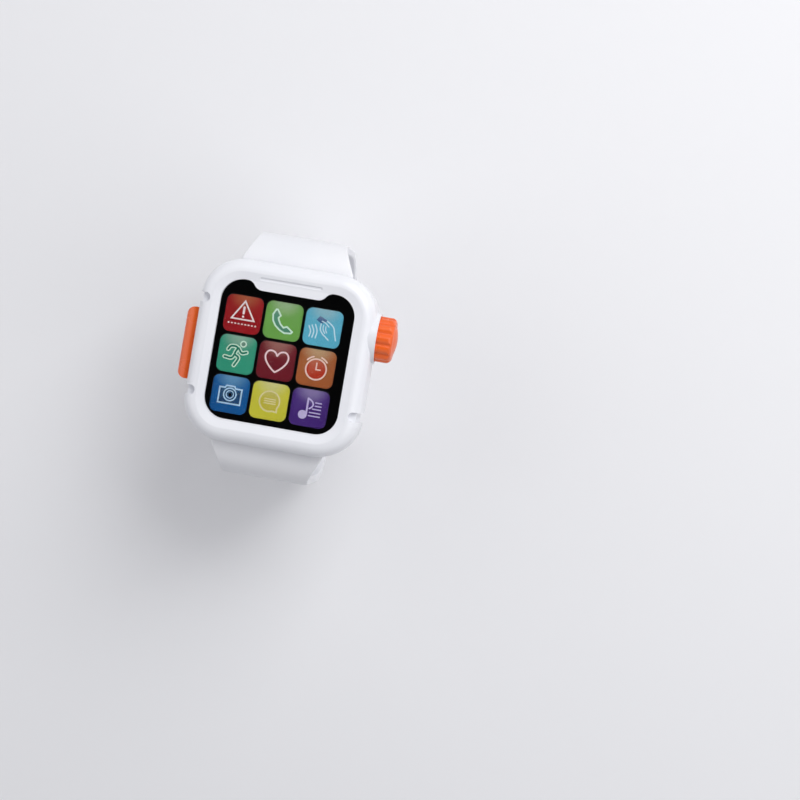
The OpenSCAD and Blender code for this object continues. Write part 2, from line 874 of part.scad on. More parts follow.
// The speaker's can, open downwards to the sound holes
module speaker_can() color("silver")
    translate([0, speaker_up, z_cover])
        rotate_extrude()
            polygon([
                [speaker_r - can_wall, 0], [speaker_r, 0], [speaker_r, speaker_h - magnet_h],
                [magnet_r, speaker_h - magnet_h], [magnet_r, speaker_h], [0, speaker_h],
                [0, speaker_h - magnet_h - can_wall], [speaker_r - can_wall, speaker_h - magnet_h - can_wall]
            ]);

// The thin cone, hung in the can by its edge
module speaker_cone() color("dimgray")
    translate([0, speaker_up, z_cover + cone_lift])
        rotate_extrude()
            polygon([
                [0, cone_rise], [magnet_r, cone_rise], [speaker_r - 2 * can_wall, 0],
                [speaker_r - can_wall, 0], [speaker_r - can_wall, cone_t],
                [speaker_r - 2 * can_wall, cone_t], [magnet_r, cone_rise + cone_t], [0, cone_rise + cone_t]
            ]);

// Two short leads that bow from the speaker's back up to the board
module speaker_leads() color("firebrick")
    for (side = [-1, 1])
        translate([side * lead_apart, speaker_up, (z_cover + speaker_h + z_board) / 2])
            rotate([90, 0, side > 0 ? 0 : 180])
                rotate([0, 0, -90])
                    rotate_extrude(angle = 180)
                        translate([(z_board - z_cover - speaker_h) / 2 - lead_r, 0])
                            circle(r = lead_r);

module button_cells() color("gainsboro")
    for (side = [-1, 1])
        translate([side * cell_apart, -cells_down, z_cell])
            cylinder(r = cell_r, h = cell_h);

// Two leaf springs between the cells' tops and the board
module cell_springs() color("gold")
    for (side = [0, 1])
        mirror([side, 0, 0])
            translate([0, contact_w / 2 - cells_down, 0])
                rotate([90, 0, 0])
                    linear_extrude(height = contact_w)
                        spring_side();

module spring_side() {
    x0 = contact_from_cell;
    x1 = x0 + contact_pad_l;
    x2 = x1 + z_board - z_cell_top;
    x3 = x2 + contact_foot_l;
    polygon([
        [x0, z_cell_top], [x1, z_cell_top], [x2, z_board - contact_t], [x3, z_board - contact_t],
        [x3, z_board], [x2 - contact_t, z_board], [x1 - contact_t, z_cell_top + contact_t],
        [x0, z_cell_top + contact_t]
    ]);
}

// The plate on the door that joins the two cells
module bridge_contact() color("gold") {
    translate([-cell_apart - bridge_w / 2, -cells_down - bridge_w / 2, z_bridge])
        cube([2 * cell_apart + bridge_w, bridge_w, contact_t]);
    for (side = [-1, 1])
        translate([side * cell_apart, -cells_down, z_bridge])
            cylinder(r = dimple_r, h = contact_t + dimple_h);
}

// The long button on the left: a rounded bar outside, a flange and a pusher inside
module side_button() color("orangered") {
    r = button_h / 2;
    intersection() {
        union() {
            translate([-half_w - button_out + r, button_l / 2, z_axis])
                rotate([90, 0, 0])
                    cylinder(r = r, h = button_l);
            translate([-half_w - button_out + r, -button_l / 2, z_axis - r])
                cube([button_out - r + case_wall + flange_gap + flange_t / 2, button_l, button_h]);
        }
        translate([0, 0, z_axis - button_h])
            linear_extrude(height = 2 * button_h)
                translate([-half_w - button_out + button_l / 2, 0])
                    plate(button_l, button_l, button_corner_r);
    }
    translate([-flange_x, -button_l / 2 - flange_reach, z_axis - r - flange_reach])
        cube([flange_t, button_l + 2 * flange_reach, button_h + 2 * flange_reach]);
    translate([-flange_x, -pusher_w / 2, z_axis - pusher_w / 2])
        cube([flange_x - switch_face - plunger_out, pusher_w, pusher_w]);
}

// The stem: a pusher and a flange inside the case, a shaft through the wall and a snap head
module crown_stem() color("orangered")
    translate([0, crown_up, z_axis])
        rotate([0, 90, 0])
            rotate_extrude()
                polygon([
                    [0, switch_face + plunger_out], [crown_pusher_r, switch_face + plunger_out],
                    [crown_pusher_r, flange_x - flange_t],
                    [stem_r + flange_reach, flange_x - flange_t],
                    [stem_r + flange_reach, flange_x], [stem_r, flange_x],
                    [stem_r, stem_head_x + shaft_fit], [stem_r + stem_head_reach, stem_head_x + shaft_fit],
                    [stem_r + stem_head_reach, stem_head_x + stem_head_l - shaft_fit],
                    [0, stem_head_x + stem_head_l - shaft_fit]
                ]);

// Outer form of the crown turned about its axis, with a rounded outer edge
module crown_blank() {
    rotate([0, 90, 0])
        rotate_extrude() {
            square([crown_r, crown_l - crown_dome_h - crown_edge_r]);
            square([crown_r - crown_edge_r, crown_l - crown_dome_h]);
            translate([crown_r - crown_edge_r, crown_l - crown_dome_h - crown_edge_r])
                circle(r = crown_edge_r);
            intersection() {
                square([crown_dome_foot_r + crown_edge_r / 2, crown_l + cut]);
                translate([0, crown_l - crown_dome_r])
                    circle(r = crown_dome_r);
            }
        }
}

// The crown: broad ribs round a core, trimmed to the turned blank
module crown() color("orangered")
    translate([crown_x, crown_up, z_axis])
        difference() {
            intersection() {
                crown_blank();
                rotate([0, 90, 0]) {
                    cylinder(r = crown_r - rib_depth, h = crown_l);
                    for (i = [0:crown_ribs - 1])
                        rotate([0, 0, i * 360 / crown_ribs])
                            translate([crown_r - rib_r, 0, 0])
                                cylinder(r = rib_r, h = crown_l);
                }
            }
            translate([-cut, 0, 0])
                rotate([0, 90, 0])
                    cylinder(r = stem_r + shaft_fit, h = crown_l - crown_end_t + cut);
            translate([stem_head_x - crown_x, 0, 0])
                rotate([0, 90, 0])
                    cylinder(r = stem_r + stem_head_reach + shaft_fit, h = stem_head_l);
        }

// The strap half at the top of the screen. It ends under the closure with the peg plate
module upper_strap() color("whitesmoke")
    difference() {
        strap_body(false)
            strap_side(inner_flat_half_l, z_upper, peg_from_middle + upper_end_past_peg + cut);
        translate([0, -peg_from_middle - upper_end_past_peg, z_upper])
            end_corners();
        for (side = [-1, 1])
            translate([side * hole_gap / 2, -peg_from_middle, z_upper])
                cylinder(r = hole_r, h = 2 * strap_t, center = true);
    }

// The strap half at the bottom of the screen. It runs under the closure and up the other side
module lower_strap() color("whitesmoke")
    difference() {
        strap_body(true) {
            mirror([1, 0])
                strap_side(flat_half_l, z_lower, inner_flat_half_l);
            tail_side();
        }
        at_place(strap_place(inner_flat_half_l + tail_l))
            rotate([0, 0, 180])
                end_corners();
        for (i = [-holes_before:holes_after], side = [-1, 1])
            at_place(strap_place(i * hole_pitch - peg_from_middle))
                translate([side * hole_gap / 2, 0, 0])
                    cylinder(r = hole_r, h = 2 * strap_t, center = true);
    }

// Moves a cutter to a place on the strap and tilts it with the strap
module at_place(place) {
    translate([0, place[0], place[1]])
        rotate([place[2], 0, 0])
            children();
}

// The plate inside the strap, with two headed pegs that pass through both straps
module peg_plate() color("white")
    translate([0, -peg_from_middle, 0]) {
        shank = z_upper + strap_t / 2;
        translate([0, 0, shank])
            linear_extrude(height = peg_plate_t)
                plate(hole_gap + 2 * peg_plate_end_r + 2 * hole_r, peg_plate_w, peg_plate_end_r);
        for (side = [-1, 1])
            translate([side * hole_gap / 2, 0, 0]) {
                cylinder(r = peg_head_r, h = keeper_t);
                cylinder(r = hole_r - shaft_fit, h = shank + peg_plate_t / 2);
            }
    }

// The loop that holds the tail down
module strap_keeper() color("whitesmoke") {
    inner_w = strap_w + 2 * slot_fit;
    inner_h = 2 * strap_t + layer_gap;
    translate([0, 0, keeper_t + inner_h / 2])
        rotate([90, 0, 0])
            linear_extrude(height = keeper_l, center = true)
                difference() {
                    plate(inner_w + 2 * keeper_t, inner_h + 2 * keeper_t, keeper_r);
                    square([inner_w, inner_h], center = true);
                }
}

front_case();
rear_cover();
battery_door();
door_screw();
case_screws();
screen_lens();
screen_mask();
picture_film();
circuit_board();
board_screws();
sound_chip();
screen_lamps();
side_switch();
side_switch_plunger();
crown_switch();
crown_switch_plunger();
speaker_can();
speaker_cone();
speaker_leads();
button_cells();
cell_springs();
bridge_contact();
side_button();
crown_stem();
crown();
upper_strap();
lower_strap();
peg_plate();
strap_keeper();
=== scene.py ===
"""Looks of a toy wrist watch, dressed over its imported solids.

Every sub-assembly is a class that holds its sizes, builds its meshes and dresses them. Sizes are
written in millimetres and become metres when a mesh is made. X runs across the screen towards the
crown, Y towards the top of the screen and Z out of the screen.
"""

import logging
import math
from dataclasses import dataclass
from enum import Enum

import bpy
import numpy as np
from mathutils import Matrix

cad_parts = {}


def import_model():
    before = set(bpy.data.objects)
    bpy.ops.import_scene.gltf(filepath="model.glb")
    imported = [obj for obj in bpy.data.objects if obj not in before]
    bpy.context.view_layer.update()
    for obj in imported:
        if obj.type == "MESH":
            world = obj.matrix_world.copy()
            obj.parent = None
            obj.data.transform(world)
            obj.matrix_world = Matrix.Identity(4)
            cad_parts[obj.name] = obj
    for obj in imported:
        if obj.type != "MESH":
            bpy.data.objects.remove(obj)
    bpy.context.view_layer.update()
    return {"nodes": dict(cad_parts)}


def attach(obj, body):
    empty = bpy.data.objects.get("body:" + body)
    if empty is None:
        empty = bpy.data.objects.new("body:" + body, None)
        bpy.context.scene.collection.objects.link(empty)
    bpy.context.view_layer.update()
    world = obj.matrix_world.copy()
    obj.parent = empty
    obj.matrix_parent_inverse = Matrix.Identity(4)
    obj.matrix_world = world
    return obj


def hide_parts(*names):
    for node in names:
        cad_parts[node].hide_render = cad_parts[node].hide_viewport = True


LOG = logging.getLogger("toy_watch")
METRE = 0.001
SHARP_ANGLE = math.radians(38)
# The band that most values of a noise lie in
NOISE_LOW = 0.25
NOISE_HIGH = 0.75
# Points on a quarter circle and on a long straight of a rounded section
CORNER_STEPS = 7
STRAIGHT_STEPS = 9
# Places of the colour sockets in a mix node, which has one set of sockets for each kind of data
MIX_SHARE = 0
MIX_FIRST = 6
MIX_SECOND = 7
MIX_RESULT = 2

Point = tuple[float, float]
Points = tuple[Point, ...]
Triple = tuple[float, float, float]
Shell = tuple[np.ndarray, list[tuple[int, ...]]]
Socket = bpy.types.NodeSocket


# Colours, nodes and meshes


def linear(colour: str) -> tuple[float, float, float, float]:
    """Turns an sRGB hex colour into linear values.

    A part c of up to 0.04045 becomes c / 12.92, and a larger one ((c + 0.055) / 1.055) to the
    power of 2.4.

    Args:
        colour: Six hex digits after a hash sign.

    Returns:
        Red, green, blue and an alpha of 1, each from 0 to 1.
    """
    part = np.array([int(colour[i : i + 2], 16) for i in (1, 3, 5)]) / 255
    value = np.where(part <= 0.04045, part / 12.92, ((part + 0.055) / 1.055) ** 2.4)
    return (float(value[0]), float(value[1]), float(value[2]), 1.0)


def add_node(
    tree: bpy.types.NodeTree,
    kind: str,
    settings: dict[str, object] | None = None,
    inputs: dict[str | int, object] | None = None,
) -> bpy.types.Node:
    """Adds one node with its settings and its inputs.

    Args:
        tree: The node tree.
        kind: The node's type after "ShaderNode".
        settings: Values of the node's own properties.
        inputs: For each input, a value or the output of another node.

    Returns:
        The new node.
    """
    node = tree.nodes.new("ShaderNode" + kind)
    for key, value in (settings or {}).items():
        setattr(node, key, value)
    plug(node, inputs or {})
    return node


def plug(node: bpy.types.Node, inputs: dict[str | int, object]) -> None:
    """Sets a node's inputs.

    Args:
        node: The node.
        inputs: For each input, a value or the output of another node.
    """
    for key, value in inputs.items():
        if isinstance(value, Socket):
            node.id_data.links.new(value, node.inputs[key])
        else:
            node.inputs[key].default_value = value


def spread(value: Socket, low: float, high: float) -> Socket:
    """Maps a noise smoothly to another band.

    Args:
        value: The noise's value.
        low: Where the noise's usual band starts afterwards.
        high: Where it ends.

    Returns:
        The mapped value.
    """
    soft = {"interpolation_type": "SMOOTHSTEP"}
    bands = {0: value, 1: NOISE_LOW, 2: NOISE_HIGH, 3: low, 4: high}
    return add_node(value.id_data, "MapRange", soft, bands).outputs[0]


def blend(share: Socket, first: object, second: object) -> Socket:
    """Mixes two colours.

    Args:
        share: From 0 for the first colour to 1 for the second one.
        first: A hex colour or another node's output.
        second: The same.

    Returns:
        The mixed colour.
    """
    first, second = (linear(part) if isinstance(part, str) else part for part in (first, second))
    inputs = {MIX_SHARE: share, MIX_FIRST: first, MIX_SECOND: second}
    return add_node(share.id_data, "Mix", {"data_type": "RGBA"}, inputs).outputs[MIX_RESULT]


def noise(tree: bpy.types.NodeTree, size_mm: float | Triple, detail: float = 3.0) -> Socket:
    """Adds a noise on the piece's own coordinates.

    Args:
        tree: The node tree.
        size_mm: Size of the noise's features, the same in all directions or one for each axis.
        detail: Number of finer layers.

    Returns:
        The noise's value.
    """
    place = add_node(tree, "TexCoord").outputs["Object"]
    if isinstance(size_mm, tuple):
        scale = [per_metre(size) for size in size_mm]
        place = add_node(tree, "Mapping", inputs={"Vector": place, "Scale": scale}).outputs[0]
        size_mm = 1 / METRE
    inputs = {"Vector": place, "Scale": per_metre(size_mm), "Detail": detail}
    return add_node(tree, "TexNoise", inputs=inputs).outputs[0]


def bumps(height: Socket, depth_mm: float, under: object = None) -> Socket:
    """Turns a height into a bumped normal.

    Args:
        height: The height, from 0 to 1.
        depth_mm: How deep one unit of it is.
        under: Another normal that this one lies over.

    Returns:
        The normal.
    """
    inputs = {"Strength": 1, "Distance": depth_mm * METRE, "Height": height}
    if under is not None:
        inputs["Normal"] = under
    return add_node(height.id_data, "Bump", inputs=inputs).outputs[0]


def per_metre(size_mm: float) -> float:
    """Gives the scale of a pattern whose features are size_mm wide."""
    return 1 / (size_mm * METRE)


def skin(rows: np.ndarray, wraps: bool = False) -> Shell:
    """Joins rows of points into a closed surface.

    Point j of row i is joined to point j + 1 of the same row and to point j of row i + 1. Each row
    closes on itself. The first and the last row are closed by a flat face, or joined when it wraps.

    Args:
        rows: An array of rows by points by 3, in millimetres.
        wraps: Whether the last row is joined to the first one.

    Returns:
        The points, and the faces as tuples of indices.
    """
    count, around = rows.shape[:2]
    steps = np.arange(count if wraps else count - 1)
    i, j = np.meshgrid(steps, np.arange(around), indexing="ij")
    following = (i + 1) % count
    beside = (j + 1) % around
    corners = [i * around + j, i * around + beside, following * around + beside, following * around + j]
    faces = [tuple(face) for face in np.stack(corners, axis=-1).reshape(-1, 4).tolist()]
    if not wraps:
        faces.append(tuple(range(around - 1, -1, -1)))
        faces.append(tuple(range((count - 1) * around, count * around)))
    return rows.reshape(-1, 3), faces


def piece(name: str, shells: list[Shell], inks: list[np.ndarray] | None = None) -> bpy.types.Object:
    """Makes one object from closed shells.

    Args:
        name: The piece's name.
        shells: Points in millimetres and faces, one pair for each shell.
        inks: For each shell, one linear colour for each point. They go into the attribute "ink".

    Returns:
        The object, with its place in its mesh and its faces pointing outwards.
    """
    starts = np.cumsum([0] + [len(points) for points, _ in shells])
    points = np.concatenate([points for points, _ in shells]) * METRE
    faces = [
        tuple(k + int(start) for k in face) for (_, part), start in zip(shells, starts) for face in part
    ]
    mesh = bpy.data.meshes.new(name)
    mesh.from_pydata(points.tolist(), [], faces)
    if inks is not None:
        layer = mesh.attributes.new("ink", "FLOAT_COLOR", "POINT")
        layer.data.foreach_set("color", np.concatenate(inks).astype(np.float32).ravel())
    smooth(mesh)
    made = bpy.data.objects.new(name, mesh)
    bpy.context.scene.collection.objects.link(made)
    return made


def smooth(mesh: bpy.types.Mesh) -> None:
    """Shades a mesh smoothly, except along its sharp edges.

    Args:
        mesh: The mesh, which changes.
    """
    mesh.polygons.foreach_set("use_smooth", np.ones(len(mesh.polygons), bool))
    mesh.set_sharp_from_angle(angle=SHARP_ANGLE)
    mesh.update()


def combine(target: bpy.types.Object, tool: bpy.types.Object, operation: str) -> None:
    """Cuts a tool from a piece, or joins it to the piece, and removes the tool.

    Args:
        target: The piece that changes.
        tool: The object that is cut away or joined.
        operation: "DIFFERENCE" or "UNION".
    """
    modifier = target.modifiers.new("combine", "BOOLEAN")
    modifier.operation = operation
    modifier.solver = "EXACT"
    modifier.object = tool
    bpy.context.view_layer.update()
    made = bpy.data.meshes.new_from_object(target.evaluated_get(bpy.context.evaluated_depsgraph_get()))
    target.modifiers.clear()
    made.name = target.name
    target.data = made
    bpy.data.objects.remove(tool)
    smooth(made)


def unit(vectors: np.ndarray) -> np.ndarray:
    """Scales vectors to a length of 1."""
    return vectors / np.linalg.norm(vectors, axis=-1, keepdims=True)


def rounded_section(
    half_w: float | np.ndarray, half_h: float | np.ndarray, r: float | np.ndarray, bow: float = 0.0
) -> np.ndarray:
    """Points round rounded rectangles: four quarter circles joined by straights.

    A point is the corner circle's middle plus r times (cos a, sin a). The long straights get
    points in between, and both are lifted by bow times (1 - (x / half_w) squared).

    Args:
        half_w: Half widths, one for each row or one for all.
        half_h: Half heights, the same.
        r: Corner radii, the same.
        bow: Height of the crown at the middle of the width.

    Returns:
        An array of rows by points by 2, anticlockwise.
    """
    half_w, half_h, r = (np.atleast_1d(size)[:, None] for size in (half_w, half_h, r))
    turn = np.radians(np.linspace(0, 90, CORNER_STEPS))
    sides = [(1, 1, 0), (-1, 1, 90), (-1, -1, 180), (1, -1, 270)]
    parts = []
    for sx, sy, start in sides:
        angle = turn + math.radians(start)
        x = sx * (half_w - r) + r * np.cos(angle)
        y = sy * (half_h - r) + r * np.sin(angle)
        parts.append(np.stack([x, y], axis=-1))
        if sx * sy > 0:
            share = np.linspace(0, 1, STRAIGHT_STEPS)[1:-1]
            flat = sx * (half_w - r) * (1 - 2 * share)
            level = np.broadcast_to(sy * half_h, flat.shape)
            parts.append(np.stack([flat, level], axis=-1))
    ring = np.concatenate(parts, axis=1)
    across = ring[..., 0] / half_w
    ring[..., 1] += bow * (1 - across**2)
    return ring


# Finishes


def new_material(name: str) -> tuple[bpy.types.Material, bpy.types.NodeTree, bpy.types.Node]:
    """Makes an empty material.

    Args:
        name: The material's name.

    Returns:
        The material, its node tree and its shader node.
    """
    made = bpy.data.materials.new(name)
    made.use_nodes = True
    tree = made.node_tree
    tree.nodes.clear()
    shader = add_node(tree, "BsdfPrincipled")
    add_node(tree, "OutputMaterial", inputs={"Surface": shader.outputs[0]})
    return made, tree, shader


@dataclass(frozen=True)
class Moulded:
    """A moulded plastic or a cast resin.

    Melt flow changes its tone slowly, handling makes its gloss uneven three times as fast, and the
    mould leaves a fine grain and a few long sink waves in its skin. Light goes depth_mm into a soft
    one, for soft_share of its colour.
    """

    name: str
    colour: str
    tone: str
    roughness: float = 0.35
    uneven: float = 0.06
    grain_mm: float = 0.5
    grain_depth_mm: float = 0.006
    flow_mm: float = 14.0
    wave_depth_mm: float = 0.05
    ior: float = 1.53
    depth_mm: float = 0.0
    soft_share: float = 0.15

    def material(self) -> bpy.types.Material:
        """Builds the material.

        Returns:
            The material.
        """
        made, tree, shader = new_material(self.name)
        colour = blend(spread(noise(tree, self.flow_mm, 1), 0, 1), self.colour, self.tone)
        handling = noise(tree, self.flow_mm / 3, 1)
        gloss = spread(handling, self.roughness - self.uneven, self.roughness + self.uneven)
        waves = bumps(noise(tree, self.flow_mm, 1), self.wave_depth_mm)
        skin_normal = bumps(noise(tree, self.grain_mm, 1), self.grain_depth_mm, waves)
        plug(shader, {"Base Color": colour, "Roughness": gloss, "Normal": skin_normal, "IOR": self.ior})
        if self.depth_mm:
            depth = self.depth_mm * METRE
            plug(shader, {"Subsurface Weight": self.soft_share, "Subsurface Scale": depth})
            plug(shader, {"Subsurface Radius": (1, 1, 1)})
        return made


@dataclass(frozen=True)
class Metal:
    """A worked metal: fine marks that run one way, cloudy plating, and dull spots from handling."""

    name: str
    colour: str
    tone: str
    roughness: float
    uneven: float
    mark_mm: Triple
    mark_depth_mm: float
    cloud_mm: float = 2.5

    def material(self) -> bpy.types.Material:
        """Builds the material.

        Returns:
            The material.
        """
        made, tree, shader = new_material(self.name)
        marks = noise(tree, self.mark_mm, 2)
        cloud = noise(tree, self.cloud_mm, 4)
        colour = blend(spread(cloud, 0, 1), self.colour, self.tone)
        gloss = spread(cloud, self.roughness - self.uneven, self.roughness + self.uneven)
        worked = bumps(marks, self.mark_depth_mm)
        plug(shader, {"Base Color": colour, "Roughness": gloss, "Normal": worked, "Metallic": 1})
        return made


@dataclass(frozen=True)
class BoardLaminate:
    """Glass laminate under green solder mask: raised copper tracks show paler, over a fine weave."""

    name: str = "green solder mask on glass laminate"
    mask: str = "#14602c"
    deep: str = "#0f4f24"
    track: str = "#3f8f45"
    track_gap_mm: float = 1.3
    track_run_mm: float = 7.0
    track_mm: float = 0.3
    track_h_mm: float = 0.035
    track_soft: float = 0.1
    row_shift: float = 0.37
    area_mm: float = 9.0
    area_low: float = 0.44
    area_high: float = 0.47
    weave_mm: float = 0.4
    weave_run_mm: float = 4.0
    weave_h_mm: float = 0.01
    gloss_mm: float = 3.0
    gloss_low: float = 0.22
    gloss_high: float = 0.34

    def material(self) -> bpy.types.Material:
        """Builds the material: a brick pattern's joints are the tracks, and a noise breaks them off.

        Returns:
            The material.
        """
        made, tree, shader = new_material(self.name)
        run = self.track_run_mm
        joints = {
            "Vector": add_node(tree, "TexCoord").outputs["Object"],
            "Scale": per_metre(run),
            "Mortar Size": self.track_mm / run / 2,
            "Mortar Smooth": self.track_soft,
            "Brick Width": 1.0,
            "Row Height": self.track_gap_mm / run,
        }
        shift = {"offset": self.row_shift, "offset_frequency": 2}
        bricks = add_node(tree, "TexBrick", shift, joints)
        edges = {0: noise(tree, self.area_mm, 0), 1: self.area_low, 2: self.area_high, 3: 0, 4: 1}
        areas = add_node(tree, "MapRange", inputs=edges).outputs[0]
        both = {0: bricks.outputs["Fac"], 1: areas}
        track = add_node(tree, "Math", {"operation": "MULTIPLY"}, both).outputs[0]
        weave = noise(tree, (self.weave_mm, self.weave_mm, self.weave_run_mm), 1)
        colour = blend(track, blend(spread(weave, 0, 1), self.mask, self.deep), self.track)
        gloss = spread(noise(tree, self.gloss_mm), self.gloss_low, self.gloss_high)
        raised = bumps(track, self.track_h_mm, bumps(weave, self.weave_h_mm))
        plug(shader, {"Base Color": colour, "Roughness": gloss, "Normal": raised})
        return made


@dataclass(frozen=True)
class ConePaper:
    """Pressed black paper with ring-shaped ribs round the speaker's axis, and short fibres."""

    middle: Point
    name: str = "pressed black cone paper"
    colour: str = "#1b1a19"
    fibre: str = "#33302c"
    ring_mm: float = 1.1
    ring_depth_mm: float = 0.12
    fibre_mm: float = 0.3
    fibre_depth_mm: float = 0.02
    gloss_low: float = 0.75
    gloss_high: float = 0.95

    def material(self) -> bpy.types.Material:
        """Builds the material: a ring wave centred on the axis, and a fine noise for the fibres.

        At a scale of 1 the wave's rings are pi / 10 apart.

        Returns:
            The material.
        """
        made, tree, shader = new_material(self.name)
        place = add_node(tree, "TexCoord").outputs["Object"]
        back = (-self.middle[0] * METRE, -self.middle[1] * METRE, 0)
        centred = add_node(tree, "Mapping", inputs={"Vector": place, "Location": back}).outputs[0]
        rings = {"wave_type": "RINGS", "rings_direction": "Z", "wave_profile": "SIN"}
        pitch = per_metre(self.ring_mm) * math.pi / 10
        wave = add_node(tree, "TexWave", rings, {"Vector": centred, "Scale": pitch, "Distortion": 0.0})
        fibres = noise(tree, self.fibre_mm, 4)
        colour = blend(spread(fibres, 0, 1), self.colour, self.fibre)
        gloss = spread(fibres, self.gloss_low, self.gloss_high)
        pressed = bumps(fibres, self.fibre_depth_mm, bumps(wave.outputs["Fac"], self.ring_depth_mm))
        plug(shader, {"Base Color": colour, "Roughness": gloss, "Normal": pressed})
        return made


@dataclass(frozen=True)
class PrintedInk:
    """Screen-printed inks, whose colours are the mesh's attribute "ink". A fine grain breaks them up."""

    name: str = "screen-printed ink"
    roughness: float = 0.7
    shine: float = 0.1
    grain_mm: float = 0.25
    uneven: float = 0.05

    def material(self) -> bpy.types.Material:
        """Builds the material.

        Returns:
            The material.
        """
        made, tree, shader = new_material(self.name)
        ink = add_node(tree, "Attribute", {"attribute_name": "ink"})
        value = spread(noise(tree, self.grain_mm, 2), 1 - self.uneven, 1 + self.uneven)
        shade = add_node(tree, "HueSaturation", inputs={"Value": value, "Color": ink.outputs["Color"]})
        plug(shader, {"Base Color": shade.outputs[0], "Roughness": self.roughness})
        plug(shader, {"Specular IOR Level": self.shine})
        return made


@dataclass(frozen=True)
class ClearAcrylic:
    """A clear moulded sheet: a faint grey body, a polished skin, a few long ripples and wipe marks."""

    name: str = "moulded clear acrylic"
    colour: str = "#fcfdfe"
    roughness_low: float = 0.03
    roughness_high: float = 0.08
    ripple_mm: float = 9.0
    ripple_depth_mm: float = 0.01
    wipe_mm: Triple = (3.0, 9.0, 9.0)
    ior: float = 1.49

    def material(self) -> bpy.types.Material:
        """Builds the material.

        Returns:
            The material.
        """
        made, tree, shader = new_material(self.name)
        ripples = bumps(noise(tree, self.ripple_mm, 1), self.ripple_depth_mm)
        wiped = spread(noise(tree, self.wipe_mm, 1), self.roughness_low, self.roughness_high)
        plug(shader, {"Base Color": linear(self.colour), "Roughness": wiped, "Normal": ripples})
        plug(shader, {"IOR": self.ior, "Transmission Weight": 1})
        return made


# Injection-moulded ABS from a polished tool: an even gloss with faint long sink waves
WHITE_ABS = Moulded("glossy moulded white ABS", "#eaebef", "#e7e8ed", 0.3, 0.015, 1.5, 0.003, 20)
ORANGE_ABS = Moulded("glossy moulded orange ABS", "#ee6419", "#e85d16", 0.3, 0.04, 1.5, 0.003)
# Soft PVC from a blasted tool: a silky gloss, and light that goes a little way in
STRAP_PVC = Moulded(
    "soft moulded white PVC", "#e9e9ec", "#e4e5e9", 0.46, 0.05, 0.7, 0.008, 18, 0.06, 1.54, depth_mm=0.6
)
# Ink printed solid on film: deep black with a satin gloss
BLACK_PRINT = Moulded("black ink on film", "#050506", "#08080a", 0.35, 0.05, 0.4, 0.002, 14, 0.01)
FILM = Moulded("black printed polyester film", "#060607", "#0a0a0c", 0.4, 0.05, 0.4, 0.002, 14, 0.01)
BLACK_NYLON = Moulded("moulded black nylon", "#19191b", "#222224", 0.5, 0.08, 0.3, 0.01, 4, 0.02)
# Epoxy dropped on the chip: a glossy blob with a slightly dimpled skin
RESIN = Moulded("black epoxy resin", "#0b0b0c", "#131314", 0.18, 0.05, 1.2, 0.03, 4, 0.05)
LAMP = Moulded(
    "cast yellowish lamp resin", "#efe3b0", "#e8cf74", 0.2, 0.05, 0.5, 0.004, 2, 0.02, 1.55, depth_mm=0.5
)
RED_PVC = Moulded("extruded red PVC wire cover", "#b3170f", "#9c120c", 0.42, 0.06, 0.3, 0.006, 3, 0.02)
# Rolled steel, nickel-plated and drawn: bright, with fine marks that run along X
CELL_STEEL = Metal(
    "drawn nickel-plated steel", "#c8c5bd", "#b4b1aa", 0.24, 0.07, (3.0, 0.12, 0.12), 0.004
)
SCREW_STEEL = Metal(
    "zinc-plated turned steel", "#b9bcc0", "#9ea1a8", 0.34, 0.1, (0.12, 0.12, 1.5), 0.006, 1.2
)
BRASS = Metal("stamped spring brass", "#d6ad52", "#b98d3a", 0.3, 0.09, (0.1, 2.0, 0.1), 0.005, 2.0)


# The screen's printed pictures

# Angles of the points round a line's round end
END_ANGLES = np.radians(np.linspace(85, 15, 5))
# A sharp corner's side reaches out to at most 1 / 0.6 of half the line's width
CORNER_CUT = 0.6


class LineEnd(Enum):
    """How a printed line ends."""

    ROUND = "round"
    SQUARE = "square"


@dataclass(frozen=True)
class Line:
    """A printed line. Its points are in millimetres from the tile's middle."""

    points: Points
    width: float
    colour: str
    closed: bool = False
    curved: bool = False
    end: LineEnd = LineEnd.ROUND
    layer: int = 1


@dataclass(frozen=True)
class Area:
    """A printed area inside an outline."""

    points: Points
    colour: str
    curved: bool = False


def arc(x: float, y: float, r: float, start: float, end: float, steps: int = 24) -> Points:
    """Points on an arc: the middle plus r times (cos a, sin a).

    Args:
        x: The middle's place across.
        y: The middle's place up.
        r: The radius.
        start: The first angle in degrees.
        end: The last angle in degrees.
        steps: Number of points.

    Returns:
        The points.
    """
    angle = np.radians(np.linspace(start, end, steps))
    return tuple(zip((x + r * np.cos(angle)).tolist(), (y + r * np.sin(angle)).tolist()))


def circle(x: float, y: float, r: float, steps: int = 24) -> Points:
    """Points on a whole circle, an arc whose last point is left out because it is the first."""
    return arc(x, y, r, 0, 360, steps + 1)[:-1]


def curve(points: np.ndarray, closed: bool, steps: int = 8) -> np.ndarray:
    """Runs a smooth curve through points.

    Between points b and c, with neighbours a and d, the curve is the cubic that passes b and c
    with the slopes (c - a) / 2 and (d - b) / 2.

    Args:
        points: An array of points by 2.
        closed: Whether the curve returns to its first point.
        steps: Points for each span.

    Returns:
        An array of points by 2.
    """
    if closed:
        a, b, c, d = (np.roll(points, shift, axis=0) for shift in (1, 0, -1, -2))
    else:
        ends = np.concatenate([points[:1] * 2 - points[1:2], points, points[-1:] * 2 - points[-2:-1]])
        a, b, c, d = ends[:-3], ends[1:-2], ends[2:-1], ends[3:]
    t = np.linspace(0, 1, steps, endpoint=False)[None, :, None]
    a, b, c, d = (p[:, None, :] for p in (a, b, c, d))
    square = a - 2.5 * b + 2 * c - d / 2
    cube = (-a + 3 * b - 3 * c + d) / 2
    made = (b + t * (c - a) / 2 + t**2 * square + t**3 * cube).reshape(-1, 2)
    return made if closed else np.concatenate([made, points[-1:]])


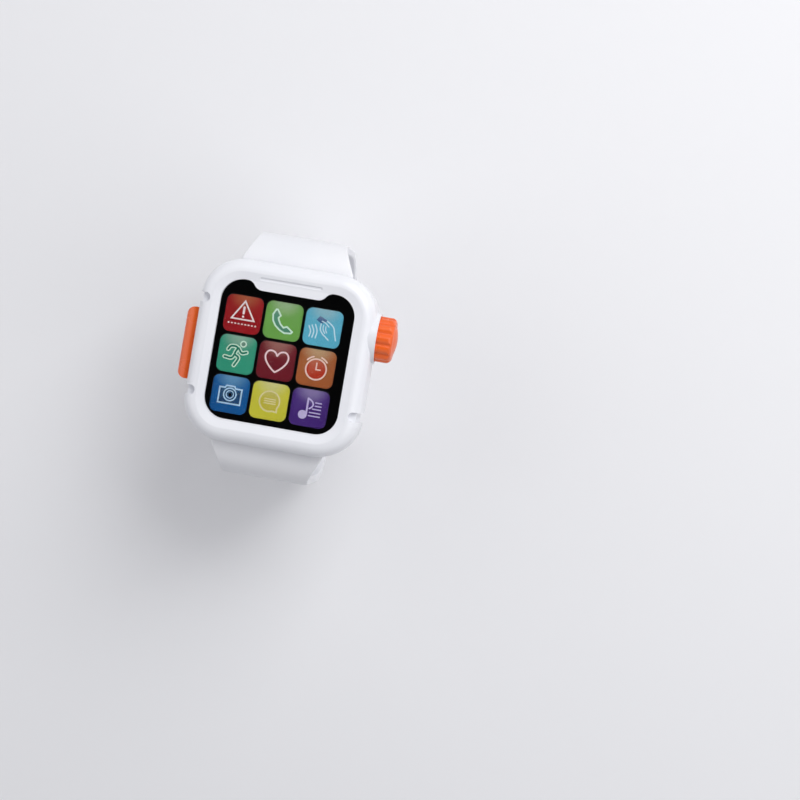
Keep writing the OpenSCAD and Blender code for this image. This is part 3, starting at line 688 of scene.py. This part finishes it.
def ribbon(path: np.ndarray, line: Line, low: float, high: float) -> Shell:
    """Carries a flat rectangle along a path.

    A row is the path's point plus and minus half the width along the mean of its two spans'
    normals, at both levels. At a round end the width shrinks as a half circle does.

    Args:
        path: The path, an array of points by 2.
        line: The line's width and ends.
        low: Level of the underside.
        high: Level of the top.

    Returns:
        The shell's points and faces.
    """
    half = line.width / 2
    width = np.full(len(path), half)
    if not line.closed and line.end is LineEnd.ROUND:
        angle = END_ANGLES
        before = path[0] - unit(path[1] - path[0]) * half * np.sin(angle)[:, None]
        after = path[-1] + unit(path[-1] - path[-2]) * half * np.sin(angle[::-1])[:, None]
        path = np.concatenate([before, path, after])
        width = np.concatenate([half * np.cos(angle), width, half * np.cos(angle[::-1])])
    if line.closed:
        ahead = np.roll(path, -1, axis=0) - path
        behind = path - np.roll(path, 1, axis=0)
    else:
        span = np.diff(path, axis=0)
        ahead = np.concatenate([span, span[-1:]])
        behind = np.concatenate([span[:1], span])
    mean = unit(unit(ahead) + unit(behind))
    normal = np.stack([-mean[:, 1], mean[:, 0]], axis=1)
    miter = 1 / np.clip((mean * unit(ahead)).sum(axis=1), CORNER_CUT, 1)
    side = normal * (width * miter)[:, None]
    flat = np.stack([path - side, path - side, path + side, path + side], axis=1)
    level = np.broadcast_to(np.array([high, low, low, high]), flat.shape[:2])
    return skin(np.concatenate([flat, level[..., None]], axis=2), wraps=line.closed)


def prism(outline: np.ndarray, low: float, high: float) -> Shell:
    """Raises an outline, turned anticlockwise first.

    Args:
        outline: An array of points by 2.
        low: Level of the underside.
        high: Level of the top.

    Returns:
        The shell's points and faces.
    """
    x, y = outline.T
    turned = (x * np.roll(y, -1) - y * np.roll(x, -1)).sum() > 0
    outline = outline if turned else outline[::-1]
    rows = [np.column_stack([outline, np.full(len(outline), level)]) for level in (low, high)]
    return skin(np.stack(rows))


@dataclass(frozen=True)
class Picture:
    """One tile of the screen with its printed picture."""

    name: str
    column: int
    row: int
    colour: str
    shine: str = "#e6e8dc"
    lines: tuple[Line, ...] = ()
    areas: tuple[Area, ...] = ()


def pictures() -> tuple[Picture, ...]:
    """Lists the nine pictures, from the top left one to the bottom right one."""
    white = "#fff0ee"
    mint = "#dcf8e4"
    sky = "#d8f4fc"
    rose = "#fbdedf"
    peach = "#fcdccd"
    ice = "#bfe2f8"
    straw = "#eadfa6"
    lilac = "#d8caf2"
    dot = 0.06
    places = np.linspace(-3.7, 3.7, 9).tolist()
    dots = tuple(Line(((x, -2.7), (x + dot, -2.7)), 0.42, white) for x in places)
    heart = (
        (0, 1.4), (0.6, 2.3), (1.6, 2.7), (2.6, 2.4), (3.15, 1.3), (2.9, 0.0), (2.1, -1.2), (1.05, -2.25),
        (0, -3.0),
    )
    phone = (
        (-2.3, 2.9), (-3.0, 1.5), (-2.75, -0.2), (-1.9, -1.5), (-0.6, -2.5), (0.8, -3.15), (2.6, -2.95),
        (2.9, -2.5), (1.3, -1.35), (0.35, -1.75), (-0.6, -0.9), (-1.2, 0.1), (-1.4, 0.7), (-0.85, 1.35),
        (-1.9, 2.9),
    )
    limbs = (
        ((-2.5, 1.1), (-1.9, 2.0), (-0.6, 2.15), (0.2, 1.75)),
        ((0.3, 1.75), (1.3, 0.6), (2.6, 0.9)),
        ((0.1, 1.8), (-0.5, 0.1), (0.6, -0.9), (-0.3, -3.0)),
        ((-0.5, 0.1), (-1.3, -1.1), (-3.2, -1.0)),
    )
    head = circle(1.4, 3.05, 0.75)
    dial = circle(0, -0.35, 2.8, 48)
    camera = (
        (-3.0, -2.5), (-3.0, 1.7), (-1.6, 1.7), (-1.2, 2.3), (1.0, 2.3), (1.4, 1.7), (3.1, 1.7),
        (3.1, -2.5),
    )
    bubble = arc(0, 0, 2.75, -35, 292, 45) + ((2.3, -2.7),)
    hand = (
        (0.34, ((-3.85, 0.0), (-3.2, -1.35), (-3.4, -2.8))),
        (0.34, ((-3.05, 0.3), (-2.35, -1.25), (-2.55, -2.95))),
        (0.34, ((-2.15, 0.6), (-1.45, -1.1), (-1.65, -3.0))),
        (0.34, ((0.9, 2.0), (2.15, 1.2), (2.95, 0.35), (3.4, -1.2), (3.9, -2.85))),
        (0.3, ((-0.5, 1.75), (0.5, 1.4), (1.55, 0.5))),
        (0.34, ((-0.65, 1.0), (-0.65, -0.5), (0.2, -1.7), (1.0, -2.3), (1.9, -3.0))),
        (0.28, ((0.05, 0.7), (0.05, -0.3), (0.7, -1.35))),
        (0.28, ((0.75, 0.5), (0.8, -0.4), (1.2, -1.15))),
    )
    flag = ((-0.5, 2.6), (0.5, 1.95), (0.9, 1.1), (0.6, 0.4), (0.0, -0.1))
    return (
        Picture(
            "print_warning", -1, 1, "#a91820", "#cf9460",
            lines=(
                Line(((0, 3.6), (-3.1, -1.4), (3.1, -1.4)), 0.5, white, closed=True),
                Line(((0, 1.9), (0, 0.3)), 0.6, white),
                Line(((0, -0.62), (0, -0.6)), 0.6, white),
            ) + dots,
        ),
        Picture(
            "print_phone", 0, 1, "#79b656",
            lines=(Line(phone, 0.45, mint, closed=True),),
            areas=(Area(phone, "#5b9d7d"),),
        ),
        Picture(
            "print_tap", 1, 1, "#65c2dd",
            lines=tuple(Line(stroke, width, sky, curved=True) for width, stroke in hand),
            areas=(Area(((-2.1, 1.9), (-1.25, 3.1), (0.85, 2.2), (0.5, 1.6), (-0.6, 1.1)), "#0c5698"),),
        ),
        Picture(
            "print_runner", -1, 0, "#3aa685",
            lines=(Line(head, 0.38, mint, closed=True),)
            + tuple(Line(limb, 1.15, mint, curved=True) for limb in limbs)
            + tuple(Line(limb, 0.5, "#27856a", curved=True, layer=2) for limb in limbs),
            areas=(Area(head, "#27856a"),),
        ),
        Picture(
            "print_heart", 0, 0, "#781927", "#ecb4a4",
            lines=tuple(
                Line(tuple((side * x, y) for x, y in heart), 0.45, rose, curved=True) for side in (1, -1)
            ),
        ),
        Picture(
            "print_clock", 1, 0, "#b46436", "#f6f2c2",
            lines=(
                Line(dial, 0.42, peach, closed=True),
                Line(((0, 1.5), (0, -0.4), (1.3, -0.4)), 0.36, peach, end=LineEnd.SQUARE),
            ) + tuple(Line(arc(0, -0.35, 3.5, start, start + 32, 9), 0.42, peach) for start in (108, 40)),
            areas=(Area(dial, "#c83e27"),),
        ),
        Picture(
            "print_camera", -1, -1, "#1260a5", "#a8e6fc",
            lines=(
                Line(camera, 0.42, ice, closed=True),
                Line(circle(0, 0, 1.7, 32), 0.36, ice, closed=True),
                Line(circle(0, 0, 1.0), 0.28, ice, closed=True),
            ),
            areas=(
                Area(camera, "#254c7a"),
                Area(circle(0, 0, 0.45, 16), ice),
                Area(circle(2.3, 0.5, 0.25, 12), ice),
            ),
        ),
        Picture(
            "print_chat", 0, -1, "#ddd642",
            lines=(Line(bubble, 0.42, straw, closed=True),)
            + tuple(Line(((-1.4, y), (1.6, y)), 0.3, straw) for y in (0.6, 0.0, -0.6)),
            areas=(Area(bubble, "#d3c547"),),
        ),
        Picture(
            "print_music", 1, -1, "#4c2a81", "#dccdfb",
            lines=(
                Line(((-0.62, -1.8), (-0.62, 2.8)), 0.5, lilac, end=LineEnd.SQUARE),
                Line(flag, 0.42, lilac, curved=True),
            ) + tuple(
                Line(((start, y), (3.1, y)), 0.32, lilac)
                for start, y in ((1.5, 1.7), (1.5, 0.8), (0.9, -0.1), (0.2, -1.1), (0.1, -2.0))
            ),
            areas=(Area(circle(-1.6, -1.95, 1.2), lilac),),
        ),
    )


@dataclass(frozen=True)
class ScreenPrints:
    """The nine printed tiles on the picture film, in the mask's windows and below the lens."""

    pitch: float = 11.0
    left: float = 0.8
    down: float = 1.1
    side: float = 10.15
    corner_r: float = 1.8
    film_top: float = 56.1
    step: float = 0.01
    panel_t: float = 0.06
    ink_t: float = 0.05
    line_step: float = 0.002
    rings: int = 18
    first_ring: float = 0.02
    shine_share: float = 0.34
    shine_up: float = 5.2
    shine_r: float = 5.2
    shine_fade: float = 4.4
    shine_across: float = 0.9

    def build(self) -> list[bpy.types.Object]:
        """Builds and dresses the nine tiles.

        Returns:
            The tiles.
        """
        ink = PrintedInk().material()
        made = [self.tile(picture) for picture in pictures()]
        for tile in made:
            tile.data.materials.append(ink)
            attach(tile, "watch")
            LOG.info("%s: %d faces", tile.name, len(tile.data.polygons))
        return made

    def tile(self, picture: Picture) -> bpy.types.Object:
        """Builds one tile: its panel, and the printed areas and lines over it.

        Each line lies a little higher than the one before, so that no two tops share a level.

        Args:
            picture: What is printed.

        Returns:
            The piece, with its inks.
        """
        x = picture.column * self.pitch - self.left
        y = picture.row * self.pitch - self.down
        low = self.film_top + self.step
        over = low + self.panel_t
        shells = [self.panel(low, over)]
        inks = [self.shaded(shells[0][0], picture.colour, picture.shine)]
        for area in picture.areas:
            outline = curve(np.array(area.points), True) if area.curved else np.array(area.points)
            shells.append(prism(outline, over - self.step, over + self.ink_t / 2))
            inks.append(self.shaded(shells[-1][0], area.colour, picture.shine))
        for number, line in enumerate(picture.lines):
            path = np.array(line.points)
            path = curve(path, line.closed) if line.curved else path
            top = over + line.layer * self.ink_t + number * self.line_step
            shells.append(ribbon(path, line, over - self.step, top))
            inks.append(np.tile(linear(line.colour), (len(shells[-1][0]), 1)))
        shells = [(points + np.array([x, y, 0]), faces) for points, faces in shells]
        return piece(picture.name, shells, inks)

    def panel(self, low: float, high: float) -> Shell:
        """The tile's base, a rounded square in rings.

        Ring k is the outline times a share from 0 to 1, first down the underside from the middle
        to the edge, then back over the top.

        Args:
            low: Level of the underside.
            high: Level of the top.

        Returns:
            The shell's points and faces.
        """
        ring = rounded_section(self.side / 2, self.side / 2, self.corner_r)[0]
        out = np.linspace(self.first_ring, 1, self.rings)
        share = np.concatenate([out[[0, -1]], out[::-1]])
        level = np.concatenate([[low, low], np.full(len(out), high)])
        flat = ring[None] * share[:, None, None]
        up = np.broadcast_to(level[:, None, None], (len(share), len(ring), 1))
        return skin(np.concatenate([flat, up], axis=2))

    def shaded(self, points: np.ndarray, colour: str, shine: str) -> np.ndarray:
        """Colours a print with the printed shine in its upper part.

        The shine's share falls from shine_share near its middle, shine_up above the tile's middle,
        to 0 at a distance of shine_r. It is shine_share times t squared times (3 - 2 t), with t the
        distance left to shine_r over shine_fade. Across, the distance counts less.

        Args:
            points: Points from the tile's middle.
            colour: The print's own colour.
            shine: The shine's colour.

        Returns:
            One linear colour for each point.
        """
        distance = np.hypot(points[:, 0] * self.shine_across, points[:, 1] - self.shine_up)
        t = np.clip((self.shine_r - distance) / self.shine_fade, 0, 1)
        share = (self.shine_share * t * t * (3 - 2 * t))[:, None]
        return np.array(linear(colour)) * (1 - share) + np.array(linear(shine)) * share


# The strap


@dataclass(frozen=True)
class StrapPath:
    """A line in the plane of Y and Z, made of stretches that each have a length and a turn."""

    start: Point
    stretches: Points

    def at(self, s: np.ndarray) -> tuple[np.ndarray, np.ndarray]:
        """Gives places and headings along the path.

        On a stretch of length l that turns by a, the heading grows evenly, and the place is the
        stretch's start plus r times (sin h - sin h0, cos h0 - cos h), with r = l / a.

        Args:
            s: Distances from the start.

        Returns:
            Places, an array of points by 2, and headings in radians.
        """
        place = np.zeros((len(s), 2))
        heading = np.zeros(len(s))
        origin = np.array(self.start)
        turned = 0.0
        passed = 0.0
        for number, (length, turn_degrees) in enumerate(self.stretches):
            turn = math.radians(turn_degrees)
            last = number == len(self.stretches) - 1
            inside = (s >= passed) & ((s <= passed + length) | last)
            d = s[inside] - passed
            h = turned + turn * d / length
            if turn:
                r = length / turn
                end = turned + turn
                step = r * np.stack([np.sin(h) - math.sin(turned), math.cos(turned) - np.cos(h)], axis=1)
                whole = r * np.array([math.sin(end) - math.sin(turned), math.cos(turned) - math.cos(end)])
            else:
                way = np.array([math.cos(turned), math.sin(turned)])
                step = d[:, None] * way
                whole = length * way
            place[inside] = origin + step
            heading[inside] = h
            origin = origin + whole
            turned += turn
            passed += length
        return place, heading

    @property
    def length(self) -> float:
        """Length of the whole path."""
        return sum(length for length, _ in self.stretches)


@dataclass(frozen=True)
class StrapHalf:
    """One half of the strap, carried along its path from the bar inside the case to its rounded end."""

    name: str
    node: str
    path: StrapPath
    side: float
    holes: tuple[float, ...]
    width: float = 24.0
    root_width: float = 31.0
    taper_start: float = 25.2
    taper_end: float = 33.4
    thickness: float = 2.4
    edge_r: float = 0.5
    end_r: float = 9.0
    tip_r: float = 1.1
    bow: float = 0.1
    hole_r: float = 1.55
    hole_gap: float = 8.0
    hole_edge_r: float = 0.35
    hole_past: float = 1.0
    hole_turn: int = 12
    bar: Triple = (22.4, 1.9, 4.8)
    bar_edge: float = 0.3
    row_gap: float = 1.1

    def build(self) -> bpy.types.Object:
        """Builds the half with its bar and its holes, and dresses it.

        Returns:
            The piece.
        """
        made = piece(self.name, [self.band()])
        combine(made, piece("bar", [self.inner_bar()]), "UNION")
        combine(made, piece("holes", self.hole_tools()), "DIFFERENCE")
        made.data.materials.clear()
        made.data.materials.append(STRAP_PVC.material())
        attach(made, "watch")
        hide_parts(self.node)
        LOG.info("%s: %d faces", made.name, len(made.data.polygons))
        return made

    def flip(self, rows: np.ndarray) -> np.ndarray:
        """Turns rows of (across, along, up) to this half's side of the watch."""
        return rows * np.array([self.side, self.side, 1.0])

    def band(self) -> Shell:
        """Carries the section along the path.

        Seen from the front, the half width falls evenly from the case to the bend. Near the end it
        follows a corner circle: it is less by r - sqrt(r^2 - (r - d)^2), with d the distance from
        the end. In the last stretch the whole section shrinks the same way to a rounded tip, and
        stops just short of a point.

        Returns:
            The shell's points and faces.
        """
        length = self.path.length
        last = 0.995
        thinnest = 0.98
        tip_turn = np.radians(np.linspace(0, 84, 9))
        corner_turn = np.radians(np.linspace(4, 90, 16))
        tip = length - self.tip_r * (1 - np.cos(tip_turn))
        corner = length - self.end_r * (1 - np.sin(corner_turn))
        even = np.arange(0, length - self.end_r, self.row_gap)
        s = np.unique(np.concatenate([even, tip, corner]).round(4))
        left = length - s
        place, heading = self.path.at(s)
        furthest = np.maximum.accumulate(place[:, 0] - np.sin(heading) * self.thickness / 2)
        taper = [self.taper_start, self.taper_end]
        half = np.interp(furthest, taper, [self.root_width / 2, self.width / 2])
        short = np.clip(self.end_r - left, 0, self.end_r)
        half = half - (self.end_r - np.sqrt(self.end_r**2 - short**2))
        tip_short = np.clip(self.tip_r - left, 0, self.tip_r * last)
        shrink = np.sqrt(1 - (tip_short / self.tip_r) ** 2)
        thin = (self.thickness / 2 - self.bow) * shrink
        half = half - self.tip_r * (1 - shrink)
        ring = rounded_section(half, thin, np.minimum(self.edge_r, thin * thinnest), self.bow)
        normal = np.stack([-np.sin(heading), np.cos(heading)], axis=1)
        across = place[:, None, :] + ring[..., 1:] * normal[:, None, :]
        rows = np.concatenate([ring[..., :1], across], axis=2)
        return skin(self.flip(rows))

    def inner_bar(self) -> Shell:
        """The bar that holds the strap inside the case, a rounded block made in rows across it.

        Returns:
            The shell's points and faces.
        """
        w, l, h = self.bar
        e = self.bar_edge
        x = np.array([-w / 2, -w / 2 + e, w / 2 - e, w / 2])
        inset = np.array([e, 0.0, 0.0, e])
        ring = rounded_section(l / 2 - inset, h / 2 - inset, e)
        y0, z0 = self.path.start
        ring = ring + np.array([y0 + l / 2, z0])
        rows = np.concatenate([np.broadcast_to(x[:, None, None], (*ring.shape[:2], 1)), ring], axis=2)
        return skin(self.flip(rows))

    def hole_tools(self) -> list[Shell]:
        """Turned cutters for the holes, flared at both ends so that each hole's rim is rounded.

        The radius at a distance n from the strap's middle is r + f - sqrt(f^2 - (n - t/2 + f)^2)
        in the outer f of the thickness, and r inside it.

        Returns:
            One shell for each hole.
        """
        f = self.hole_edge_r
        t = self.thickness / 2 + self.bow
        turn = np.radians(np.linspace(0, 90, CORNER_STEPS))
        up = np.concatenate([[0.0], t - f + f * np.sin(turn), [t + self.hole_past]])
        wide = np.concatenate([[0.0], f - f * np.cos(turn), [f]])
        n = np.concatenate([-up[:0:-1], up])
        radius = self.hole_r + np.concatenate([wide[:0:-1], wide])
        angle = np.radians(np.arange(0, 360, self.hole_turn))
        place, heading = self.path.at(np.array(self.holes))
        shells = []
        for (y, z), h in zip(place, heading):
            along = radius[:, None] * np.sin(angle)
            ys = y + along * math.cos(h) - n[:, None] * math.sin(h)
            zs = z + along * math.sin(h) + n[:, None] * math.cos(h)
            for x in (-self.hole_gap / 2, self.hole_gap / 2):
                xs = x + radius[:, None] * np.cos(angle)
                shells.append(skin(self.flip(np.stack([xs, ys, zs], axis=2))))
        return shells


def strap_halves() -> tuple[StrapHalf, StrapHalf]:
    """Gives both halves of the strap as they lie when the loop is closed.

    Each half runs level out of the case, bends down over its shoulder, drops, turns in through its
    heel and runs level past the middle. The lower half's tail then follows the upper half's heel.

    Returns:
        The upper and the lower half.
    """
    quarter = math.pi / 2
    start = (21.0, 52.0)
    shoulder_r = 7.3
    out = ((4.2, 0), (shoulder_r * quarter, -90))
    drop = start[1] - shoulder_r
    loop_half = start[0] + out[0][0] + shoulder_r
    upper_level = 5.0
    upper_heel_r = 23.0
    past_middle = 11.6
    lower_level = 2.5
    lower_heel_r = 20.5
    tail = (26.0, -58.42)
    peg_place = 7.6
    hole_pitch = 6.5
    upper_flat = loop_half - upper_heel_r
    lower_flat = loop_half - lower_heel_r
    upper_drop = (drop - upper_level - upper_heel_r, 0)
    lower_drop = (drop - lower_level - lower_heel_r, 0)
    upper_heel = (upper_heel_r * quarter, -90)
    lower_heel = (lower_heel_r * quarter, -90)
    upper = StrapPath(start, (*out, upper_drop, upper_heel, (upper_flat + past_middle, 0)))
    lower = StrapPath(start, (*out, lower_drop, lower_heel, (lower_flat + upper_flat, 0), tail))
    peg = upper.length - past_middle + peg_place
    middle = lower.length - tail[0] - upper_flat
    pairs = tuple(middle + i * hole_pitch - peg_place for i in range(-2, 6))
    return (
        StrapHalf("upper_strap_band", "upper_strap", upper, 1.0, (peg,)),
        StrapHalf("lower_strap_band", "lower_strap", lower, -1.0, pairs),
    )


@dataclass(frozen=True)
class StrapKeeper:
    """The soft loop that holds the tail down: a rounded band carried round both straps."""

    inner_w: float = 24.4
    inner_h: float = 4.9
    wall: float = 1.3
    length: float = 8.0
    corner_r: float = 0.85
    edge_r: float = 0.5

    def build(self) -> bpy.types.Object:
        """Builds the loop and dresses it.

        Returns:
            The piece.
        """
        made = piece("strap_keeper_band", [self.band()])
        made.data.materials.append(STRAP_PVC.material())
        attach(made, "watch")
        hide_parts("strap_keeper")
        LOG.info("%s: %d faces", made.name, len(made.data.polygons))
        return made

    def band(self) -> Shell:
        """Carries the loop's section round the straps.

        The loop's middle line is a rounded rectangle. A point of the section is that line's point
        plus its outward normal times the section's height, and the section's width runs along Y.

        Returns:
            The shell's points and faces.
        """
        w = self.inner_w / 2 + self.wall / 2
        h = self.inner_h / 2 + self.wall / 2
        line = rounded_section(w, h, self.corner_r)[0]
        following = unit(np.roll(line, -1, axis=0) - np.roll(line, 1, axis=0))
        normal = np.stack([following[:, 1], -following[:, 0]], axis=1)
        section = rounded_section(self.length / 2, self.wall / 2, self.edge_r)[0]
        xz = line[:, None, :] + section[None, :, 1:] * normal[:, None, :]
        y = np.broadcast_to(section[None, :, 0], xz.shape[:2])
        z = xz[..., 1] + self.wall + self.inner_h / 2
        return skin(np.stack([xz[..., 0], y, z], axis=2), wraps=True)


# Dressing of the solids that keep their shape

Finish = Moulded | Metal | BoardLaminate | ConePaper | ClearAcrylic


@dataclass(frozen=True)
class Works:
    """The solids that stay as they are, and the finish that each one gets."""

    finishes: tuple[tuple[Finish, tuple[str, ...]], ...] = (
        (WHITE_ABS, ("front_case", "rear_cover", "battery_door", "peg_plate")),
        (ORANGE_ABS, ("side_button", "crown", "crown_stem")),
        (ClearAcrylic(), ("screen_lens",)),
        (BLACK_PRINT, ("screen_mask",)),
        (FILM, ("picture_film",)),
        (BoardLaminate(), ("circuit_board",)),
        (ConePaper((0.0, 8.0)), ("speaker_cone",)),
        (BLACK_NYLON, ("side_switch", "side_switch_plunger", "crown_switch", "crown_switch_plunger")),
        (RESIN, ("sound_chip",)),
        (LAMP, ("screen_lamps",)),
        (SCREW_STEEL, ("door_screw", "case_screws", "board_screws")),
        (CELL_STEEL, ("speaker_can", "button_cells")),
        (BRASS, ("cell_springs", "bridge_contact")),
        (RED_PVC, ("speaker_leads",)),
    )

    def dress(self, nodes: dict[str, bpy.types.Object]) -> None:
        """Gives each solid its material.

        Args:
            nodes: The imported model's objects by name.
        """
        for finish, names in self.finishes:
            made = finish.material()
            for name in names:
                nodes[name].data.materials.clear()
                nodes[name].data.materials.append(made)
                LOG.info("%s: %s", name, finish.name)


# The studio


@dataclass(frozen=True)
class Lamp:
    """A soft square lamp: its place, where it points, the length of its side and its power in watts."""

    name: str
    place: Triple
    target: Triple
    size: float
    power: float

    def build(self) -> None:
        """Hangs the lamp and turns it to its target."""
        light = bpy.data.lights.new(self.name, "AREA")
        light.size = self.size * METRE
        light.energy = self.power
        made = bpy.data.objects.new(self.name, light)
        way = np.array(self.target) - np.array(self.place)
        flat = math.hypot(way[0], way[1])
        made.location = [value * METRE for value in self.place]
        made.rotation_euler = (math.atan2(flat, -way[2]), 0, math.atan2(way[1], way[0]) - math.pi / 2)
        bpy.context.scene.collection.objects.link(made)


@dataclass(frozen=True)
class Studio:
    """A pale floor, soft lamps and the camera at the photograph's place."""

    floor_colour: str = "#eaeaec"
    floor_half: float = 3000.0
    sky_colour: str = "#f7f8ff"
    sky: float = 0.33
    backdrop: str = "#f4f4f5"
    ceiling: str = "#3a3a3c"
    ceiling_low: float = 0.86
    ceiling_high: float = 0.97
    lamps: tuple[Lamp, ...] = (
        Lamp("key_lamp", (280, 430, 540), (0, 0, 40), 460, 3.35),
        Lamp("right_lamp", (430, -60, 480), (0, 0, 45), 480, 0.9),
        Lamp("left_lamp", (-480, 60, 330), (0, 0, 45), 620, 0.95),
    )
    camera_place: Triple = (68.58, 2.05, 551.77)
    camera_turn: Triple = (-0.207, 4.082, 9.785)
    camera_lens: float = 82.91

    def build(self) -> None:
        """Builds the floor, the sky, the lamps and the camera."""
        self.floor()
        self.world()
        for lamp in self.lamps:
            lamp.build()
        self.camera()

    def floor(self) -> None:
        """Lays the floor, a flat square at the level that the watch stands on."""
        edge = self.floor_half
        corners = np.array([[-edge, -edge, 0], [edge, -edge, 0], [edge, edge, 0], [-edge, edge, 0]])
        made = piece("floor", [(corners, [(0, 1, 2, 3)])])
        colour = self.floor_colour
        finish = Moulded("matt painted board", colour, colour, 0.85, 0.05, 1.5, 0.01)
        made.data.materials.append(finish.material())

    def world(self) -> None:
        """Sets a soft even sky. The camera and the reflections see a backdrop under a grey ceiling.

        The share of ceiling colour grows evenly with the height of the direction, from 0 at
        ceiling_low to 1 at ceiling_high.
        """
        world = bpy.data.worlds.new("sky")
        bpy.context.scene.world = world
        world.use_nodes = True
        tree = world.node_tree
        tree.nodes.clear()
        even = {"Color": linear(self.sky_colour), "Strength": self.sky}
        light = add_node(tree, "Background", inputs=even)
        way = add_node(tree, "TexCoord").outputs["Generated"]
        height = add_node(tree, "SeparateXYZ", inputs={0: way}).outputs["Z"]
        edges = {0: height, 1: self.ceiling_low, 2: self.ceiling_high, 3: 0, 4: 1}
        above = add_node(tree, "MapRange", inputs=edges).outputs[0]
        studio = blend(above, self.backdrop, self.ceiling)
        seen = add_node(tree, "Background", inputs={"Color": studio, "Strength": 1.0})
        rays = add_node(tree, "LightPath").outputs
        share = rays["Is Camera Ray"]
        for kind in ("Is Glossy Ray", "Is Transmission Ray"):
            share = add_node(tree, "Math", {"operation": "MAXIMUM"}, {0: share, 1: rays[kind]}).outputs[0]
        sides = {0: share, 1: light.outputs[0], 2: seen.outputs[0]}
        mix = add_node(tree, "MixShader", inputs=sides)
        add_node(tree, "OutputWorld", inputs={"Surface": mix.outputs[0]})

    def camera(self) -> None:
        """Puts the camera where the photograph was taken from."""
        lens = bpy.data.cameras.new("camera")
        lens.sensor_fit = "HORIZONTAL"
        lens.sensor_width = 36
        lens.lens = self.camera_lens
        lens.clip_start = 0.01
        made = bpy.data.objects.new("camera", lens)
        made.location = [value * METRE for value in self.camera_place]
        made.rotation_euler = [math.radians(value) for value in self.camera_turn]
        bpy.context.scene.collection.objects.link(made)
        bpy.context.scene.camera = made
        bpy.context.scene.view_settings.view_transform = "Standard"


def main() -> None:
    """Loads the solids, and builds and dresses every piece."""
    logging.basicConfig(level=logging.INFO, format="%(name)s: %(message)s")
    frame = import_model()
    Studio().build()
    Works().dress(frame["nodes"])
    ScreenPrints().build()
    for half in strap_halves():
        half.build()
    StrapKeeper().build()


if __name__ == "__main__":
    main()
